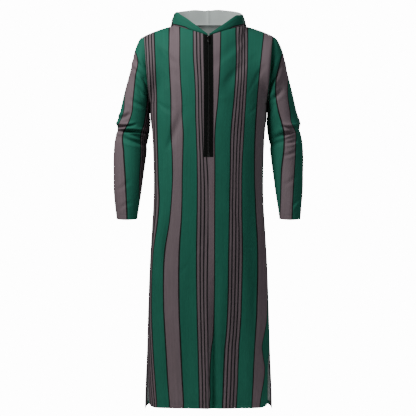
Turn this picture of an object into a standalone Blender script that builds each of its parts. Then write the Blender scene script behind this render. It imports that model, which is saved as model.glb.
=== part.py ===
"""A hooded long-sleeved thobe with a front zip, in the hollow form it has when worn.

Metres, +Z up. The front faces -Y and the wearer's left is +X. The origin is on the
centre line at the height where the neck and shoulders carry the garment.
"""

import math
from collections import namedtuple

import bpy
import numpy as np

# Cloth
WALL = 0.0016
SEAM = 0.0004
SQUARENESS = 2.4

# Neckline: a shallow V at the front, the neck points on the shoulder seams, the nape behind
NECK_X = 0.125
NECK_Z = 0.018
NECK_FRONT = 0.095
NECK_BACK = 0.062
VEE_Z = -0.023
NAPE_Z = 0.025

# Shoulder tips and armholes
SHOULDER_X = 0.226
SHOULDER_Z = -0.018
SHOULDER_RISE = 0.003
ARMPIT_X = 0.206
ARMPIT_Z = -0.255
ARMHOLE_DEPTH = 0.070

# Hem and side slits
SLIT_Z = -1.060
FRONT_HEM_Z = -1.311
BACK_HEM_Z = -1.304
CORNER_RISE = 0.018
CORNER_SHARE = 0.24
TIP_DROP = 0.019
TIP_SHARE = 0.16

# Zip, with the slider's and the pull's sizes along the zip, across it and off the cloth
ZIP_END_Z = -0.440
TAPE_EDGE = 0.0165
TAPE_WALL = 0.0010
CHAIN_HALF = 0.0030
CHAIN_WALL = 0.0022
STOP_HALF_LENGTH = 0.0022
STOP_WALL = 0.0027
GAP = 0.0003
SLIDER_AT = 0.0078
SLIDER_LIFT = 0.0019
SLIDER_HALF_LENGTH = 0.0056
SLIDER_HALF = 0.0044
SLIDER_WALL = 0.0026
CHAMFER = 0.0010
BRIDGE_HALF = 0.0016
BRIDGE_HALF_LENGTH = 0.0042
BRIDGE_HEIGHT = 0.0034
EYE_HALF_LENGTH = 0.0023
EYE_HEIGHT = 0.0022
PULL_WALL = 0.0014

# The pull tab down from the middle of its bar: a square bar, a window round the bridge, a tongue
PullRow = namedtuple("PullRow", "place half window")
PULL_ROWS = [PullRow(*row) for row in [
    (-0.0007, 0.0037, 0.0021),
    (0.0007, 0.0037, 0.0021),
    (0.0060, 0.0036, 0.0021),
    (0.0085, 0.0027, 0.0016),
    (0.0225, 0.0029, 0.0017),
    (0.0238, 0.0022, 0.0013),
]]

# Colours, as linear red, green and blue
GREEN = (0.013, 0.108, 0.074)
MAUVE = (0.150, 0.112, 0.123)
BLACK = (0.012, 0.014, 0.013)
STEEL = (0.090, 0.092, 0.090)


class Table:
    """Rows of numbers under named columns, read on a smooth curve through the rows."""

    def __init__(self, columns, rows):
        self.columns = columns.split()
        ordered = sorted(rows)
        self.rows = np.array(ordered, float)

    def read(self, column, at):
        keys = self.rows[:, 0]
        values = self.rows[:, self.columns.index(column)]
        slopes = np.gradient(values, keys)
        at = np.clip(np.asarray(at, float), keys[0], keys[-1])
        low = np.clip(np.searchsorted(keys, at) - 1, 0, len(keys) - 2)
        step = keys[low + 1] - keys[low]
        t = (at - keys[low]) / step
        value = values[low] * (1 + 2 * t) * (1 - t) ** 2 + values[low + 1] * t * t * (3 - 2 * t)
        return value + step * (slopes[low] * t * (1 - t) ** 2 - slopes[low + 1] * t * t * (1 - t))


# Torso and skirt sections below the armpits
TORSO = Table("z half_width front_depth back_depth", [
    (-0.255, 0.206, 0.134, 0.122),
    (-0.312, 0.2030, 0.136, 0.121),
    (-0.353, 0.198, 0.136, 0.120),
    (-0.430, 0.194, 0.136, 0.116),
    (-0.600, 0.193, 0.134, 0.112),
    (-0.700, 0.199, 0.132, 0.114),
    (-0.800, 0.205, 0.132, 0.118),
    (-0.970, 0.2115, 0.134, 0.122),
    (-1.120, 0.216, 0.136, 0.125),
    (-1.250, 0.222, 0.138, 0.127),
    (-1.330, 0.224, 0.139, 0.128),
])

# How far each panel reaches round its quarter of the section, as a share, beside the slits
SLIT_EDGE = Table("z right_front left_front back", [
    (-1.060, 1.00, 1.00, 1.000),
    (-1.100, 0.94, 0.90, 0.992),
    (-1.140, 0.87, 0.81, 0.984),
    (-1.180, 0.82, 0.77, 0.976),
    (-1.250, 0.76, 0.73, 0.966),
    (-1.320, 0.73, 0.72, 0.960),
])

# Soft drape folds of the fronts and the back: a trough has a positive depth, a ridge a negative one
Fold = namedtuple("Fold", "top_x top_z bottom_x bottom_z width depth")
FRONT_FOLDS = [Fold(*row) for row in [
    (0.022, -0.800, 0.011, -1.900, 0.011, 0.019),
    (-0.006, -0.760, -0.006, -1.900, 0.010, -0.007),
    (-0.175, -0.050, -0.105, -0.190, 0.018, 0.005),
    (-0.085, -0.260, -0.160, -0.480, 0.020, 0.005),
    (0.120, -0.060, 0.050, -0.240, 0.022, 0.005),
    (0.100, -0.180, 0.150, -0.420, 0.026, 0.006),
    (-0.130, -0.560, -0.165, -1.000, 0.020, 0.007),
    (-0.060, -0.700, -0.085, -1.600, 0.026, 0.008),
    (0.095, -0.760, 0.110, -1.700, 0.024, 0.009),
    (-0.135, -0.950, -0.130, -1.700, 0.022, 0.006),
    (0.150, -0.560, 0.160, -1.080, 0.018, 0.005),
]]
BACK_FOLDS = [Fold(*row) for row in [
    (0.000, -0.420, 0.000, -1.800, 0.026, 0.010),
    (0.075, -0.560, 0.095, -1.700, 0.022, 0.009),
    (-0.080, -0.520, -0.090, -1.700, 0.024, 0.010),
    (0.140, -0.700, 0.155, -1.600, 0.020, 0.007),
    (-0.145, -0.660, -0.150, -1.600, 0.020, 0.007),
    (0.120, -0.120, 0.040, -0.380, 0.024, 0.005),
    (-0.125, -0.120, -0.050, -0.400, 0.024, 0.005),
]]

# Sleeve rings from the armhole to the cuff: outer and inner edge seen from the front, and depth
SLEEVE = Table("ring outer_x outer_z inner_x inner_z half_depth centre_y", [
    (0, 0.2260, -0.0180, 0.2060, -0.2550, 0.070, 0.000),
    (1, 0.2420, -0.0340, 0.2065, -0.2640, 0.076, 0.000),
    (2, 0.2600, -0.0760, 0.2062, -0.2760, 0.080, 0.001),
    (3, 0.2780, -0.1420, 0.2054, -0.2950, 0.081, 0.003),
    (4, 0.2945, -0.2120, 0.2047, -0.3180, 0.079, 0.005),
    (5, 0.3080, -0.2720, 0.2060, -0.3420, 0.076, 0.006),
    (6, 0.3190, -0.3180, 0.2094, -0.3660, 0.073, 0.006),
    (7, 0.3240, -0.3540, 0.2130, -0.3900, 0.071, 0.004),
    (8, 0.3300, -0.3950, 0.2165, -0.4220, 0.069, 0.000),
    (9, 0.3320, -0.4450, 0.2215, -0.4640, 0.067, -0.006),
    (10, 0.3310, -0.5020, 0.2280, -0.5150, 0.064, -0.014),
    (11, 0.3300, -0.5580, 0.2340, -0.5660, 0.061, -0.022),
    (12, 0.3260, -0.6100, 0.2410, -0.6140, 0.058, -0.030),
    (13, 0.3205, -0.6585, 0.2470, -0.6585, 0.055, -0.036),
])
SLEEVE_RINGS = [0, 1, 2, 3, 4, 5, 5.5, 6, 6.35, 6.7, 7, 7.35, 7.7, 8.2, 9, 10, 11, 12, 13]
RING_HALF = 10

# Folds round a sleeve: place down the sleeve, reach down it, the side they are deepest, and depth
SleeveFold = namedtuple("SleeveFold", "ring reach deepest depth")
SLEEVE_FOLDS = [SleeveFold(*row) for row in [
    (6.00, 0.45, 0.9, -0.005),
    (6.70, 0.30, 1.1, 0.008),
    (7.35, 0.30, 1.9, 0.006),
    (3.00, 0.70, 1.4, 0.006),
]]

# Hood sections round the neckline, from the V at the front to the centre back. Each is a run of
# the half hood from the neck seam to the face edge, as distances out from the seam and up from it.
HOOD = Table("around heading crest_out crest_up slope_out slope_up low_out low_up "
             "hang_out hang_up rim_out rim_up", [
    (0, 60, 0.000, 0.001, 0.000, 0.002, 0.000, 0.003, 0.000, 0.0035, 0.000, 0.004),
    (18, 60, 0.001, 0.005, 0.001, 0.010, 0.000, 0.014, -0.001, 0.017, -0.002, 0.019),
    (40, 70, 0.002, 0.011, 0.001, 0.020, 0.000, 0.028, -0.002, 0.033, -0.004, 0.036),
    (54, 80, 0.0025, 0.0155, 0.003, 0.026, 0.002, 0.036, 0.0005, 0.042, -0.001, 0.045),
    (62, 88, 0.003, 0.018, 0.004, 0.030, 0.004, 0.040, 0.002, 0.047, 0.000, 0.051),
    (70, 168, 0.003, 0.020, 0.004, 0.031, 0.006, 0.038, 0.010, 0.039, 0.014, 0.036),
    (80, 178, 0.002, 0.021, 0.004, 0.030, 0.012, 0.032, 0.024, 0.027, 0.034, 0.020),
    (98, 167, 0.004, 0.024, 0.014, 0.024, 0.044, 0.002, 0.066, -0.014, 0.074, -0.004),
    (120, 165, 0.016, 0.044, 0.038, 0.022, 0.074, -0.090, 0.098, -0.085, 0.100, -0.026),
    (150, 172, 0.024, 0.054, 0.051, -0.008, 0.085, -0.200, 0.112, -0.175, 0.114, -0.064),
    (180, 180, 0.026, 0.053, 0.053, -0.030, 0.087, -0.275, 0.116, -0.240, 0.120, -0.085),
])
HOOD_RUNS = ["crest", "slope", "low", "hang", "rim"]
HOOD_STEPS = 14
HOOD_START = 1.4
LEFT_PEAK_DROP = 0.012
LEFT_PEAK_AT = 61
LEFT_PEAK_REACH = 6
LEFT_BAND_DROP = 0.003
LEFT_BAND_AT = 35
LEFT_BAND_REACH = 18

# Grid lines of the panels: angles round the neckline, then shares of the section to the side
NECK_ANGLES = [0, 9, 18, 36, 54, 72, 90]
SIDE_COLUMNS = 7
LOWER_ROWS = ([ARMPIT_Z, -0.315, -0.375]
              + list(np.linspace(ZIP_END_Z, SLIT_Z, 11))
              + [-1.085, -1.115, -1.150, -1.190, -1.230, -1.270, FRONT_HEM_Z])


def smooth(t):
    """Ease from 0 to 1."""
    t = np.clip(t, 0.0, 1.0)
    return t * t * (3 - 2 * t)


def unit(vectors):
    """Scale vectors to length 1."""
    length = np.linalg.norm(vectors, axis=-1, keepdims=True)
    return vectors / np.maximum(length, 1e-12)


def section(share):
    """Give the parts, 0 to 1, across and fore-and-aft of a squarish quarter section."""
    angle = np.asarray(share) * math.pi / 2
    power = 2 / SQUARENESS
    return np.sin(angle) ** power, np.abs(np.cos(angle)) ** power


def share_across(across):
    """Give the share of the quarter section that reaches a part across."""
    return np.arcsin(np.clip(across, 0, 1) ** (SQUARENESS / 2)) / (math.pi / 2)


def panel_top(face, across):
    """Give the distance off the shoulder plane and the height of a panel's top edge."""
    x = SHOULDER_X * across
    part = np.clip(x / NECK_X, 0, 1)
    round_part = np.sqrt(1 - part ** 2)
    neck_y = (NECK_FRONT if face == "front" else NECK_BACK) * round_part
    if face == "front":
        neck_z = VEE_Z + (NECK_Z - VEE_Z) * part
    else:
        neck_z = NECK_Z + (NAPE_Z - NECK_Z) * round_part
    slope = (SHOULDER_Z - NECK_Z) / (SHOULDER_X - NECK_X)
    out = np.clip((x - NECK_X) / (SHOULDER_X - NECK_X), 0, 1)
    shoulder_z = NECK_Z + slope * (x - NECK_X) + SHOULDER_RISE * np.sin(math.pi * out)
    return neck_y, np.where(x < NECK_X, neck_z, shoulder_z)


def yoke(face, share, drop):
    """Give x, distance off the shoulder plane and z above the armpits, drop running 0 to 1."""
    across, along = section(share)
    top_y, top_z = panel_top(face, across)
    depth = TORSO.read("front_depth" if face == "front" else "back_depth", ARMPIT_Z)
    steep = 0.9 - 0.35 * np.clip(SHOULDER_X * across / NECK_X, 0, 1)
    fall = (1 - (1 - drop) ** 2.2) ** steep
    bulge = ARMHOLE_DEPTH * across ** (6 + 40 * drop ** 6) * 2 * np.sqrt(drop * (1 - drop))
    x = (SHOULDER_X + (ARMPIT_X - SHOULDER_X) * drop) * across
    return x, top_y + (depth * along - top_y) * fall + bulge, top_z + (ARMPIT_Z - top_z) * drop


def hem(face, share):
    """Give a panel's hem height: rounded corners in front, pointed ones behind."""
    if face == "front":
        part = np.clip((share - 1 + CORNER_SHARE) / CORNER_SHARE, 0, 1)
        return FRONT_HEM_Z + CORNER_RISE * (1 - np.sqrt(1 - 0.999 * part ** 2))
    part = np.clip((share - 1 + TIP_SHARE) / TIP_SHARE, 0, 1)
    return BACK_HEM_Z - TIP_DROP * part ** 2


def skirt(face, side, share, z):
    """Give x, distance off the shoulder plane and z below the armpits."""
    edge = "back" if face == "back" else ("left_front" if side > 0 else "right_front")
    across, along = section(share * SLIT_EDGE.read(edge, z))
    down = np.clip((z - SLIT_Z) / (FRONT_HEM_Z - SLIT_Z), 0, 1)
    height = np.where(z < SLIT_Z, SLIT_Z + (hem(face, share) - SLIT_Z) * down, z)
    width = TORSO.read("half_width", z)
    depth = TORSO.read("front_depth" if face == "front" else "back_depth", z)
    return width * across, depth * along, height


def fold_depth(folds, x, z):
    """Add up how far the drape folds push the cloth inwards at a place."""
    total = np.zeros_like(x)
    for fold in folds:
        part = (fold.top_z - z) / (fold.top_z - fold.bottom_z)
        centre = fold.top_x + (fold.bottom_x - fold.top_x) * part
        window = np.sin(math.pi * np.clip(part, 0, 1)) ** 0.8
        total += fold.depth * window * np.exp(-((x - centre) / fold.width) ** 2)
    return total


def panel(face, side, shares):
    """Work out a panel's outer points: rows from the top edge to the hem, columns outwards."""
    sign = -1 if face == "front" else 1
    folds = FRONT_FOLDS if face == "front" else BACK_FOLDS
    turns = np.linspace(0, math.pi, RING_HALF + 1)[:-1]
    rows = [yoke(face, shares, (1 - math.cos(turn)) / 2) for turn in turns]
    rows += [skirt(face, side, shares, np.full_like(shares, z)) for z in LOWER_ROWS]
    grid = np.array([np.stack(row, axis=-1) for row in rows])
    x = side * np.maximum(grid[:, :, 0], SEAM / 2)
    y = sign * np.maximum(grid[:, :, 1], SEAM / 2)
    z = grid[:, :, 2]
    inwards = fold_depth(folds, x, z) * (1 - shares ** 8) * smooth((0.0 - z) / 0.06)
    y = y - sign * inwards
    return np.stack([x, y, z], axis=-1)


def grid_normals(grid, around=False):
    """Give unit normals of a grid of points, right-handed from its columns to its rows."""
    if around:
        across = np.roll(grid, -1, axis=1) - np.roll(grid, 1, axis=1)
    else:
        across = np.gradient(grid, axis=1)
    return unit(np.cross(across, np.gradient(grid, axis=0)))


def finish(name, colour, roughness, metallic=0.0):
    """Make the material of one piece."""
    material = bpy.data.materials.new(name)
    material.use_nodes = True
    shader = material.node_tree.nodes["Principled BSDF"]
    shader.inputs["Base Color"].default_value = (*colour, 1.0)
    shader.inputs["Roughness"].default_value = roughness
    shader.inputs["Metallic"].default_value = metallic
    material.diffuse_color = (*colour, 1.0)
    return material


def solid(name, points, faces, material):
    """Add one closed solid, turned so that its faces point out."""
    points = np.asarray(points, float)
    corners = points[np.array(faces)]
    volume = np.einsum("ij,ij->i", corners[:, 0], np.cross(corners[:, 1], corners[:, 2])).sum()
    if volume < 0:
        faces = [face[::-1] for face in faces]
    mesh = bpy.data.meshes.new(name)
    mesh.from_pydata(points.tolist(), [], [tuple(face) for face in faces])
    mesh.shade_smooth()
    mesh.set_sharp_from_angle(angle=math.radians(50))
    mesh.materials.append(material)
    piece = bpy.data.objects.new(name, mesh)
    bpy.context.collection.objects.link(piece)
    return piece


def wall(name, outer, inner, material, around=False):
    """Close an outer and an inner grid of points into one wall, with rims at its open edges."""
    rows, columns = outer.shape[:2]
    size = rows * columns
    last = columns if around else columns - 1

    def at(row, column, layer=0):
        return layer * size + row * columns + column % columns

    faces = []

    def quad(a, b, c, d):
        faces.append((a, b, c))
        faces.append((a, c, d))

    for row in range(rows - 1):
        for column in range(last):
            ring = [(row, column), (row, column + 1), (row + 1, column + 1), (row + 1, column)]
            quad(*[at(r, c) for r, c in ring])
            a, b, c, d = [at(r, c, 1) for r, c in ring]
            faces.append((c, b, a))
            faces.append((d, c, a))
    for column in range(last):
        quad(at(0, column + 1), at(0, column), at(0, column, 1), at(0, column + 1, 1))
        low = rows - 1
        quad(at(low, column), at(low, column + 1), at(low, column + 1, 1), at(low, column, 1))
    if not around:
        for row in range(rows - 1):
            quad(at(row, 0), at(row + 1, 0), at(row + 1, 0, 1), at(row, 0, 1))
            quad(at(row + 1, last), at(row, last), at(row, last, 1), at(row + 1, last, 1))
    points = np.concatenate([outer.reshape(-1, 3), inner.reshape(-1, 3)])
    return solid(name, points, faces, material)


def panel_shares():
    """List the panels' columns: along the neckline, then along the shoulder to the side."""
    neck = [share_across(NECK_X * math.sin(math.radians(a)) / SHOULDER_X) for a in NECK_ANGLES]
    side = np.linspace(neck[-1], 1.0, SIDE_COLUMNS + 1)[1:]
    return np.concatenate([neck, side])


def armhole_inwards(side, turns):
    """Point from the armhole's edge to its middle, in the armhole's plane."""
    half_x = side * (SHOULDER_X - ARMPIT_X) / 2
    half_z = (SHOULDER_Z - ARMPIT_Z) / 2
    x = half_x * np.cos(turns)
    y = -ARMHOLE_DEPTH * np.sin(turns)
    z = half_z * np.cos(turns)
    return -unit(np.stack([x, y, z], axis=-1))


def neck_inwards(points):
    """Point inwards and down from the neckline, the way both layers of its seam are thick."""
    flat = points.copy()
    flat[..., 2] = 0
    direction = -unit(flat)
    direction[..., 2] = -1
    return unit(direction)


def panel_inner(face, side, grid, inwards):
    """Move a panel's points in by the wall, squarely to the seams at its edges."""
    sign = -1 if face == "front" else 1
    neck = len(NECK_ANGLES)
    yoke_rows = RING_HALF
    turns = np.linspace(0, math.pi, RING_HALF + 1)
    middle = armhole_inwards(side, turns)
    middle[:, 1] *= -sign
    pull = smooth((np.cos(turns) + 0.8) / 0.8)[:, None]
    edge = unit(middle * pull + inwards[:yoke_rows + 1, -1] * (1 - pull))
    inwards[:yoke_rows + 1, -1] = edge
    inwards[yoke_rows:, -1, 1] = 0
    inwards[0, :neck] = neck_inwards(grid[0, :neck])
    inwards[0, neck - 1:, 1] = 0
    inwards[0, neck - 1:] = unit(inwards[0, neck - 1:] * (0.2, 0, 1))
    if face == "front":
        inwards[:, 0, 0] = 0
    return grid + unit(inwards) * WALL


def build_fronts(material):
    """Make the two front panels and give back their outer points by side."""
    shares = panel_shares()
    grids = {}
    for side, name in ((1, "front_left"), (-1, "front_right")):
        grid = panel("front", side, shares)
        inwards = side * grid_normals(grid)
        inwards *= np.sign(inwards[len(grid) // 2, 2, 1])
        wall(name, grid, panel_inner("front", side, grid, inwards), material)
        grids[side] = grid
    return grids


def build_back(material):
    """Make the back panel from its two mirrored halves."""
    shares = panel_shares()
    left = panel("back", 1, shares)
    right = panel("back", -1, shares)
    left[:, 0, 0] = 0
    whole = np.concatenate([right[:, :0:-1], left], axis=1)
    inwards = grid_normals(whole)
    inwards *= -np.sign(inwards[len(whole) // 2, len(shares) - 1, 1])
    half = len(shares) - 1
    inner_left = panel_inner("back", 1, left, inwards[:, half:].copy())
    inner_right = panel_inner("back", -1, right, inwards[:, half::-1].copy())
    inner = np.concatenate([inner_right[:, :0:-1], inner_left], axis=1)
    wall("back", whole, inner, material)


def sleeve_points(side):
    """Work out a sleeve's rings, each from the shoulder over the front and round."""
    rings = np.array(SLEEVE_RINGS, float)
    turns = np.arange(2 * RING_HALF) * math.pi / RING_HALF
    read = {name: SLEEVE.read(name, rings)[:, None] for name in SLEEVE.columns[1:]}
    cos = np.cos(turns)[None, :]
    sin = np.sin(turns)[None, :]
    x = (read["outer_x"] + read["inner_x"]) / 2 + (read["outer_x"] - read["inner_x"]) / 2 * cos
    z = (read["outer_z"] + read["inner_z"]) / 2 + (read["outer_z"] - read["inner_z"]) / 2 * cos
    y = read["centre_y"] - read["half_depth"] * sin
    grid = np.stack([side * x, y, z], axis=-1)
    grid[0, :, 0] += side * SEAM
    outwards = grid_normals(grid, around=True)
    outwards *= np.sign((outwards[5, 0] * (side, 0, 0)).sum())
    folds = np.zeros(grid.shape[:2])
    for fold in SLEEVE_FOLDS:
        down = np.exp(-((rings[:, None] - fold.ring) / fold.reach) ** 2)
        round_part = (0.5 + 0.5 * np.cos(turns[None, :] - fold.deepest)) ** 2
        folds += fold.depth * down * round_part
    grid = grid - outwards * folds[:, :, None]
    return grid, turns


def build_sleeves(material):
    """Make the two sleeves."""
    for side, name in ((1, "sleeve_left"), (-1, "sleeve_right")):
        grid, turns = sleeve_points(side)
        outwards = grid_normals(grid, around=True)
        outwards *= np.sign((outwards[5, 0] * (side, 0, 0)).sum())
        inwards = -outwards
        middle = armhole_inwards(side, turns)
        pull = smooth((np.cos(turns) + 0.8) / 0.8)[:, None]
        inwards[0] = unit(middle * pull + inwards[0] * (1 - pull))
        inwards[-1, :, 2] = 0
        wall(name, grid, grid + unit(inwards) * WALL, material, around=True)


def hood_points(side):
    """Work out half a hood: a row for each place from the neck seam to the face edge."""
    angles = np.array([HOOD_START] + NECK_ANGLES[1:] + [180 - a for a in NECK_ANGLES[-2::-1]], float)
    turn = np.radians(angles)
    part = np.sin(turn)
    front = angles < 90
    round_part = np.abs(np.cos(turn))
    seam_x = NECK_X * part
    seam_y = np.where(front, -NECK_FRONT, NECK_BACK) * round_part
    seam_z = np.where(front, VEE_Z + (NECK_Z - VEE_Z) * part, NECK_Z + (NAPE_Z - NECK_Z) * round_part)
    heading = np.radians(HOOD.read("heading", angles))
    peak = LEFT_PEAK_DROP * np.exp(-((angles - LEFT_PEAK_AT) / LEFT_PEAK_REACH) ** 2)
    peak += LEFT_BAND_DROP * np.exp(-((angles - LEFT_BAND_AT) / LEFT_BAND_REACH) ** 2)
    outs = [np.zeros_like(angles)]
    ups = [np.zeros_like(angles)]
    for place, run in enumerate(HOOD_RUNS, 1):
        lower = peak * place / len(HOOD_RUNS) if side > 0 else 0
        outs.append(HOOD.read(run + "_out", angles))
        ups.append(HOOD.read(run + "_up", angles) - lower)
    outs = np.array(outs)
    ups = np.array(ups)
    keys = np.arange(len(outs))
    places = np.linspace(0, len(keys) - 1, HOOD_STEPS + 1)
    out = np.stack([spline(keys, outs[:, i], places) for i in range(len(angles))], axis=1)
    up = np.stack([spline(keys, ups[:, i], places) for i in range(len(angles))], axis=1)
    x = seam_x + out * np.sin(heading)
    y = seam_y - out * np.cos(heading)
    z = seam_z + SEAM + up
    x = np.maximum(x, SEAM / 2)
    x[:, -1] = SEAM / 2
    return np.stack([side * x, y, z], axis=-1)


def spline(keys, values, at):
    """Read a smooth curve through values at keys."""
    return Table("key value", list(zip(keys.tolist(), values.tolist()))).read("value", at)


def build_hood(material):
    """Make the two halves of the hood."""
    for side, name in ((1, "hood_left"), (-1, "hood_right")):
        grid = hood_points(side)
        inwards = grid_normals(grid)
        inwards *= -np.sign((inwards[1, 6] * (side, 0, 0)).sum())
        inwards[0] = neck_inwards(grid[0])
        inwards[:, -1, 0] = 0
        wall(name, grid, grid + unit(inwards) * WALL, material)


def zip_rows(grid):
    """Take the panel rows that the zip lies on, from just under the neckline to its lower end."""
    last = int(np.argmin(np.abs(grid[:, 0, 2] - ZIP_END_Z)))
    rows = grid[:last + 1, :2].copy()
    rows[0] = rows[0] + (rows[1] - rows[0]) * 0.12
    return rows


def lay_on(rows, distances):
    """Give points at distances from the centre front, on the cloth between its first columns."""
    span = rows[:, 1] - rows[:, 0]
    width = np.linalg.norm(span, axis=-1, keepdims=True)
    return np.stack([rows[:, 0] + span / width * d for d in distances], axis=1)


def build_tapes(grids, material):
    """Lay the two zip tapes on the fronts."""
    for side, name in ((1, "zip_tape_left"), (-1, "zip_tape_right")):
        rows = zip_rows(grids[side])
        flat = lay_on(rows, [CHAIN_HALF + 2 * GAP, TAPE_EDGE])
        off = grid_normals(flat)
        off *= -np.sign(off[1, 0, 1])
        off[..., 0] = 0
        off = unit(off)
        wall(name, flat + off * (GAP + TAPE_WALL), flat + off * GAP, material)


def build_chain(grids, material):
    """Run the closed chain down the middle of the tapes, from the slider to the stop."""
    left = zip_rows(grids[1])
    top = surface_at(grids, SLIDER_AT + SLIDER_HALF_LENGTH + GAP)[0]
    middle = left[:, 0].copy()
    middle[:, 0] = 0
    keep = middle[:, 2] < top[2] - 0.004
    run = np.concatenate([[top], middle[keep]])
    run[-1, 2] += 0.012
    run[-1, 1] = np.interp(run[-1, 2], middle[::-1, 2], middle[::-1, 1])
    down = unit(np.gradient(run, axis=0))
    off = np.stack([0 * down[:, 0], down[:, 2], -down[:, 1]], axis=-1)
    off *= -np.sign(off[0, 1])
    sides = np.array([(-CHAIN_HALF, 0, 0), (CHAIN_HALF, 0, 0)])
    low = run[:, None] + sides[None] + off[:, None] * GAP
    wall("zip_chain", low + off[:, None] * CHAIN_WALL, low, material)
    return run[-1], down[-1], off[-1]


def surface_at(grids, distance):
    """Find the point, the way down and the way off the cloth at a distance down the centre front."""
    line = grids[1][:, 0].copy()
    line[:, 0] = 0
    steps = np.linalg.norm(np.diff(line, axis=0), axis=-1)
    run = np.concatenate([[0], np.cumsum(steps)])
    point = np.array([np.interp(distance, run, line[:, i]) for i in range(3)])
    ahead = np.array([np.interp(distance + 0.006, run, line[:, i]) for i in range(3)])
    behind = np.array([np.interp(distance - 0.006, run, line[:, i]) for i in range(3)])
    down = unit(ahead - behind)
    off = np.array([0, down[2], -down[1]])
    return point, down, off * -np.sign(off[1])


def block(name, spot, outline, half_width, material):
    """Extrude a closed outline, given as places down the zip and off the cloth, across the zip."""
    point, down, off = spot
    count = len(outline)
    points = []
    for x in (-half_width, half_width):
        points += [point + down * v + off * w + np.array([x, 0, 0]) for v, w in outline]
    faces = []
    for i in range(1, count - 1):
        faces.append((0, i, i + 1))
        faces.append((count + i + 1, count + i, count))
    for i in range(count):
        j = (i + 1) % count
        faces.append((j, i, count + i))
        faces.append((j, count + i, count + j))
    return solid(name, points, faces, material)


def chamfered(half_length, base, top):
    """Outline a block along the zip with its two upper edges cut off."""
    return [(-half_length, base), (half_length, base), (half_length, top - CHAMFER),
            (half_length - CHAMFER, top), (CHAMFER - half_length, top), (-half_length, top - CHAMFER)]


def build_slider(grids, material):
    """Make the slider: a body, and the bridge on it that holds the pull."""
    spot = surface_at(grids, SLIDER_AT)
    top = SLIDER_LIFT + SLIDER_WALL
    body = block("zip_slider", spot, chamfered(SLIDER_HALF_LENGTH, SLIDER_LIFT, top),
                 SLIDER_HALF, material)
    bridge = block("bridge", spot,
                   chamfered(BRIDGE_HALF_LENGTH, top - CHAMFER, top + BRIDGE_HEIGHT),
                   BRIDGE_HALF, material)
    eye = block("eye", spot,
                [(-EYE_HALF_LENGTH, top), (EYE_HALF_LENGTH, top),
                 (EYE_HALF_LENGTH, top + EYE_HEIGHT), (-EYE_HALF_LENGTH, top + EYE_HEIGHT)],
                SLIDER_HALF, material)
    for tool, action in ((bridge, "UNION"), (eye, "DIFFERENCE")):
        tool.hide_render = True
        tool.display_type = "WIRE"
        cut = body.modifiers.new(tool.name, "BOOLEAN")
        cut.operation = action
        cut.solver = "EXACT"
        cut.object = tool
    return spot


def build_pull(spot, material):
    """Make the pull tab, a plate whose upper bar runs under the slider's bridge."""
    point, down, off = spot
    level = SLIDER_LIFT + SLIDER_WALL + EYE_HEIGHT / 2
    points = []
    for lift in (PULL_WALL / 2, -PULL_WALL / 2):
        for row in PULL_ROWS:
            middle = point + down * row.place + off * (level + lift)
            for x in (-row.half, -row.window, row.window, row.half):
                points.append(middle + np.array([x, 0, 0]))
    columns = 4
    size = len(PULL_ROWS) * columns
    window = (1, 1)
    cells = {(r, c) for r in range(len(PULL_ROWS) - 1) for c in range(columns - 1)} - {window}
    faces = []
    for r, c in sorted(cells):
        first = r * columns + c
        ring = [first, first + 1, first + columns + 1, first + columns]
        faces.append((ring[0], ring[1], ring[2]))
        faces.append((ring[0], ring[2], ring[3]))
        faces.append((size + ring[2], size + ring[1], size + ring[0]))
        faces.append((size + ring[3], size + ring[2], size + ring[0]))
        beside = [(r - 1, c), (r, c + 1), (r + 1, c), (r, c - 1)]
        for edge, other in enumerate(beside):
            if other not in cells:
                a = ring[edge]
                b = ring[(edge + 1) % 4]
                faces.append((b, a, size + a))
                faces.append((b, size + a, size + b))
    return solid("zip_pull", points, faces, material)


def build_stop(chain_end, material):
    """Close the zip with a small stop under the chain."""
    point, down, off = chain_end
    spot = (point + down * (GAP + STOP_HALF_LENGTH), down, off)
    block("zip_stop", spot, chamfered(STOP_HALF_LENGTH, GAP, GAP + STOP_WALL), CHAIN_HALF, material)


def main():
    """Build the whole garment."""
    for old in list(bpy.data.objects):
        bpy.data.objects.remove(old)
    cloth = finish("striped_cloth", GREEN, 0.85)
    second = finish("mauve_cloth", MAUVE, 0.85)
    tape = finish("zip_tape", BLACK, 0.80)
    metal = finish("dark_metal", STEEL, 0.35, 0.9)
    grids = build_fronts(cloth)
    build_back(cloth)
    build_sleeves(second)
    build_hood(second)
    build_tapes(grids, tape)
    chain_end = build_chain(grids, metal)
    spot = build_slider(grids, metal)
    build_pull(spot, metal)
    build_stop(chain_end, metal)


main()
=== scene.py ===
"""Dresses the hooded thobe: thin striped shells on the forms of its solids, the zip, the sewing,
a pale floor, soft light and the camera. Metres, +Z up, the front faces -Y, the wearer's left is +X.
"""

import math
from collections import namedtuple

import bpy
import numpy as np
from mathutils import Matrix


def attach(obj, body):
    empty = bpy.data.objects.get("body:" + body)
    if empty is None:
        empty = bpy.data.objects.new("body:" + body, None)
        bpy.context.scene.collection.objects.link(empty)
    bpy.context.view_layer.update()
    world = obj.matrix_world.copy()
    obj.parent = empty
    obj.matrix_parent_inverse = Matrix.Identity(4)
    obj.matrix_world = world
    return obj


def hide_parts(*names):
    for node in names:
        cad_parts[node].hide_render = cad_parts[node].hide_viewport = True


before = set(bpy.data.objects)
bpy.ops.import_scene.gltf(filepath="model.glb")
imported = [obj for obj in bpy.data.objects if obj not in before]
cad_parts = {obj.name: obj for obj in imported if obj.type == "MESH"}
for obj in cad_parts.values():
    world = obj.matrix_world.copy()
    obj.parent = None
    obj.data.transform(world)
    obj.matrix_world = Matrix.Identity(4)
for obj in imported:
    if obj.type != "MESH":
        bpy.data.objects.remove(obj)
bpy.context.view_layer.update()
GARMENT = "garment"
PULL = "pull"
SIDES = ((1, "left"), (-1, "right"))
ACROSS = np.array([1.0, 0.0, 0.0])

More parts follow.
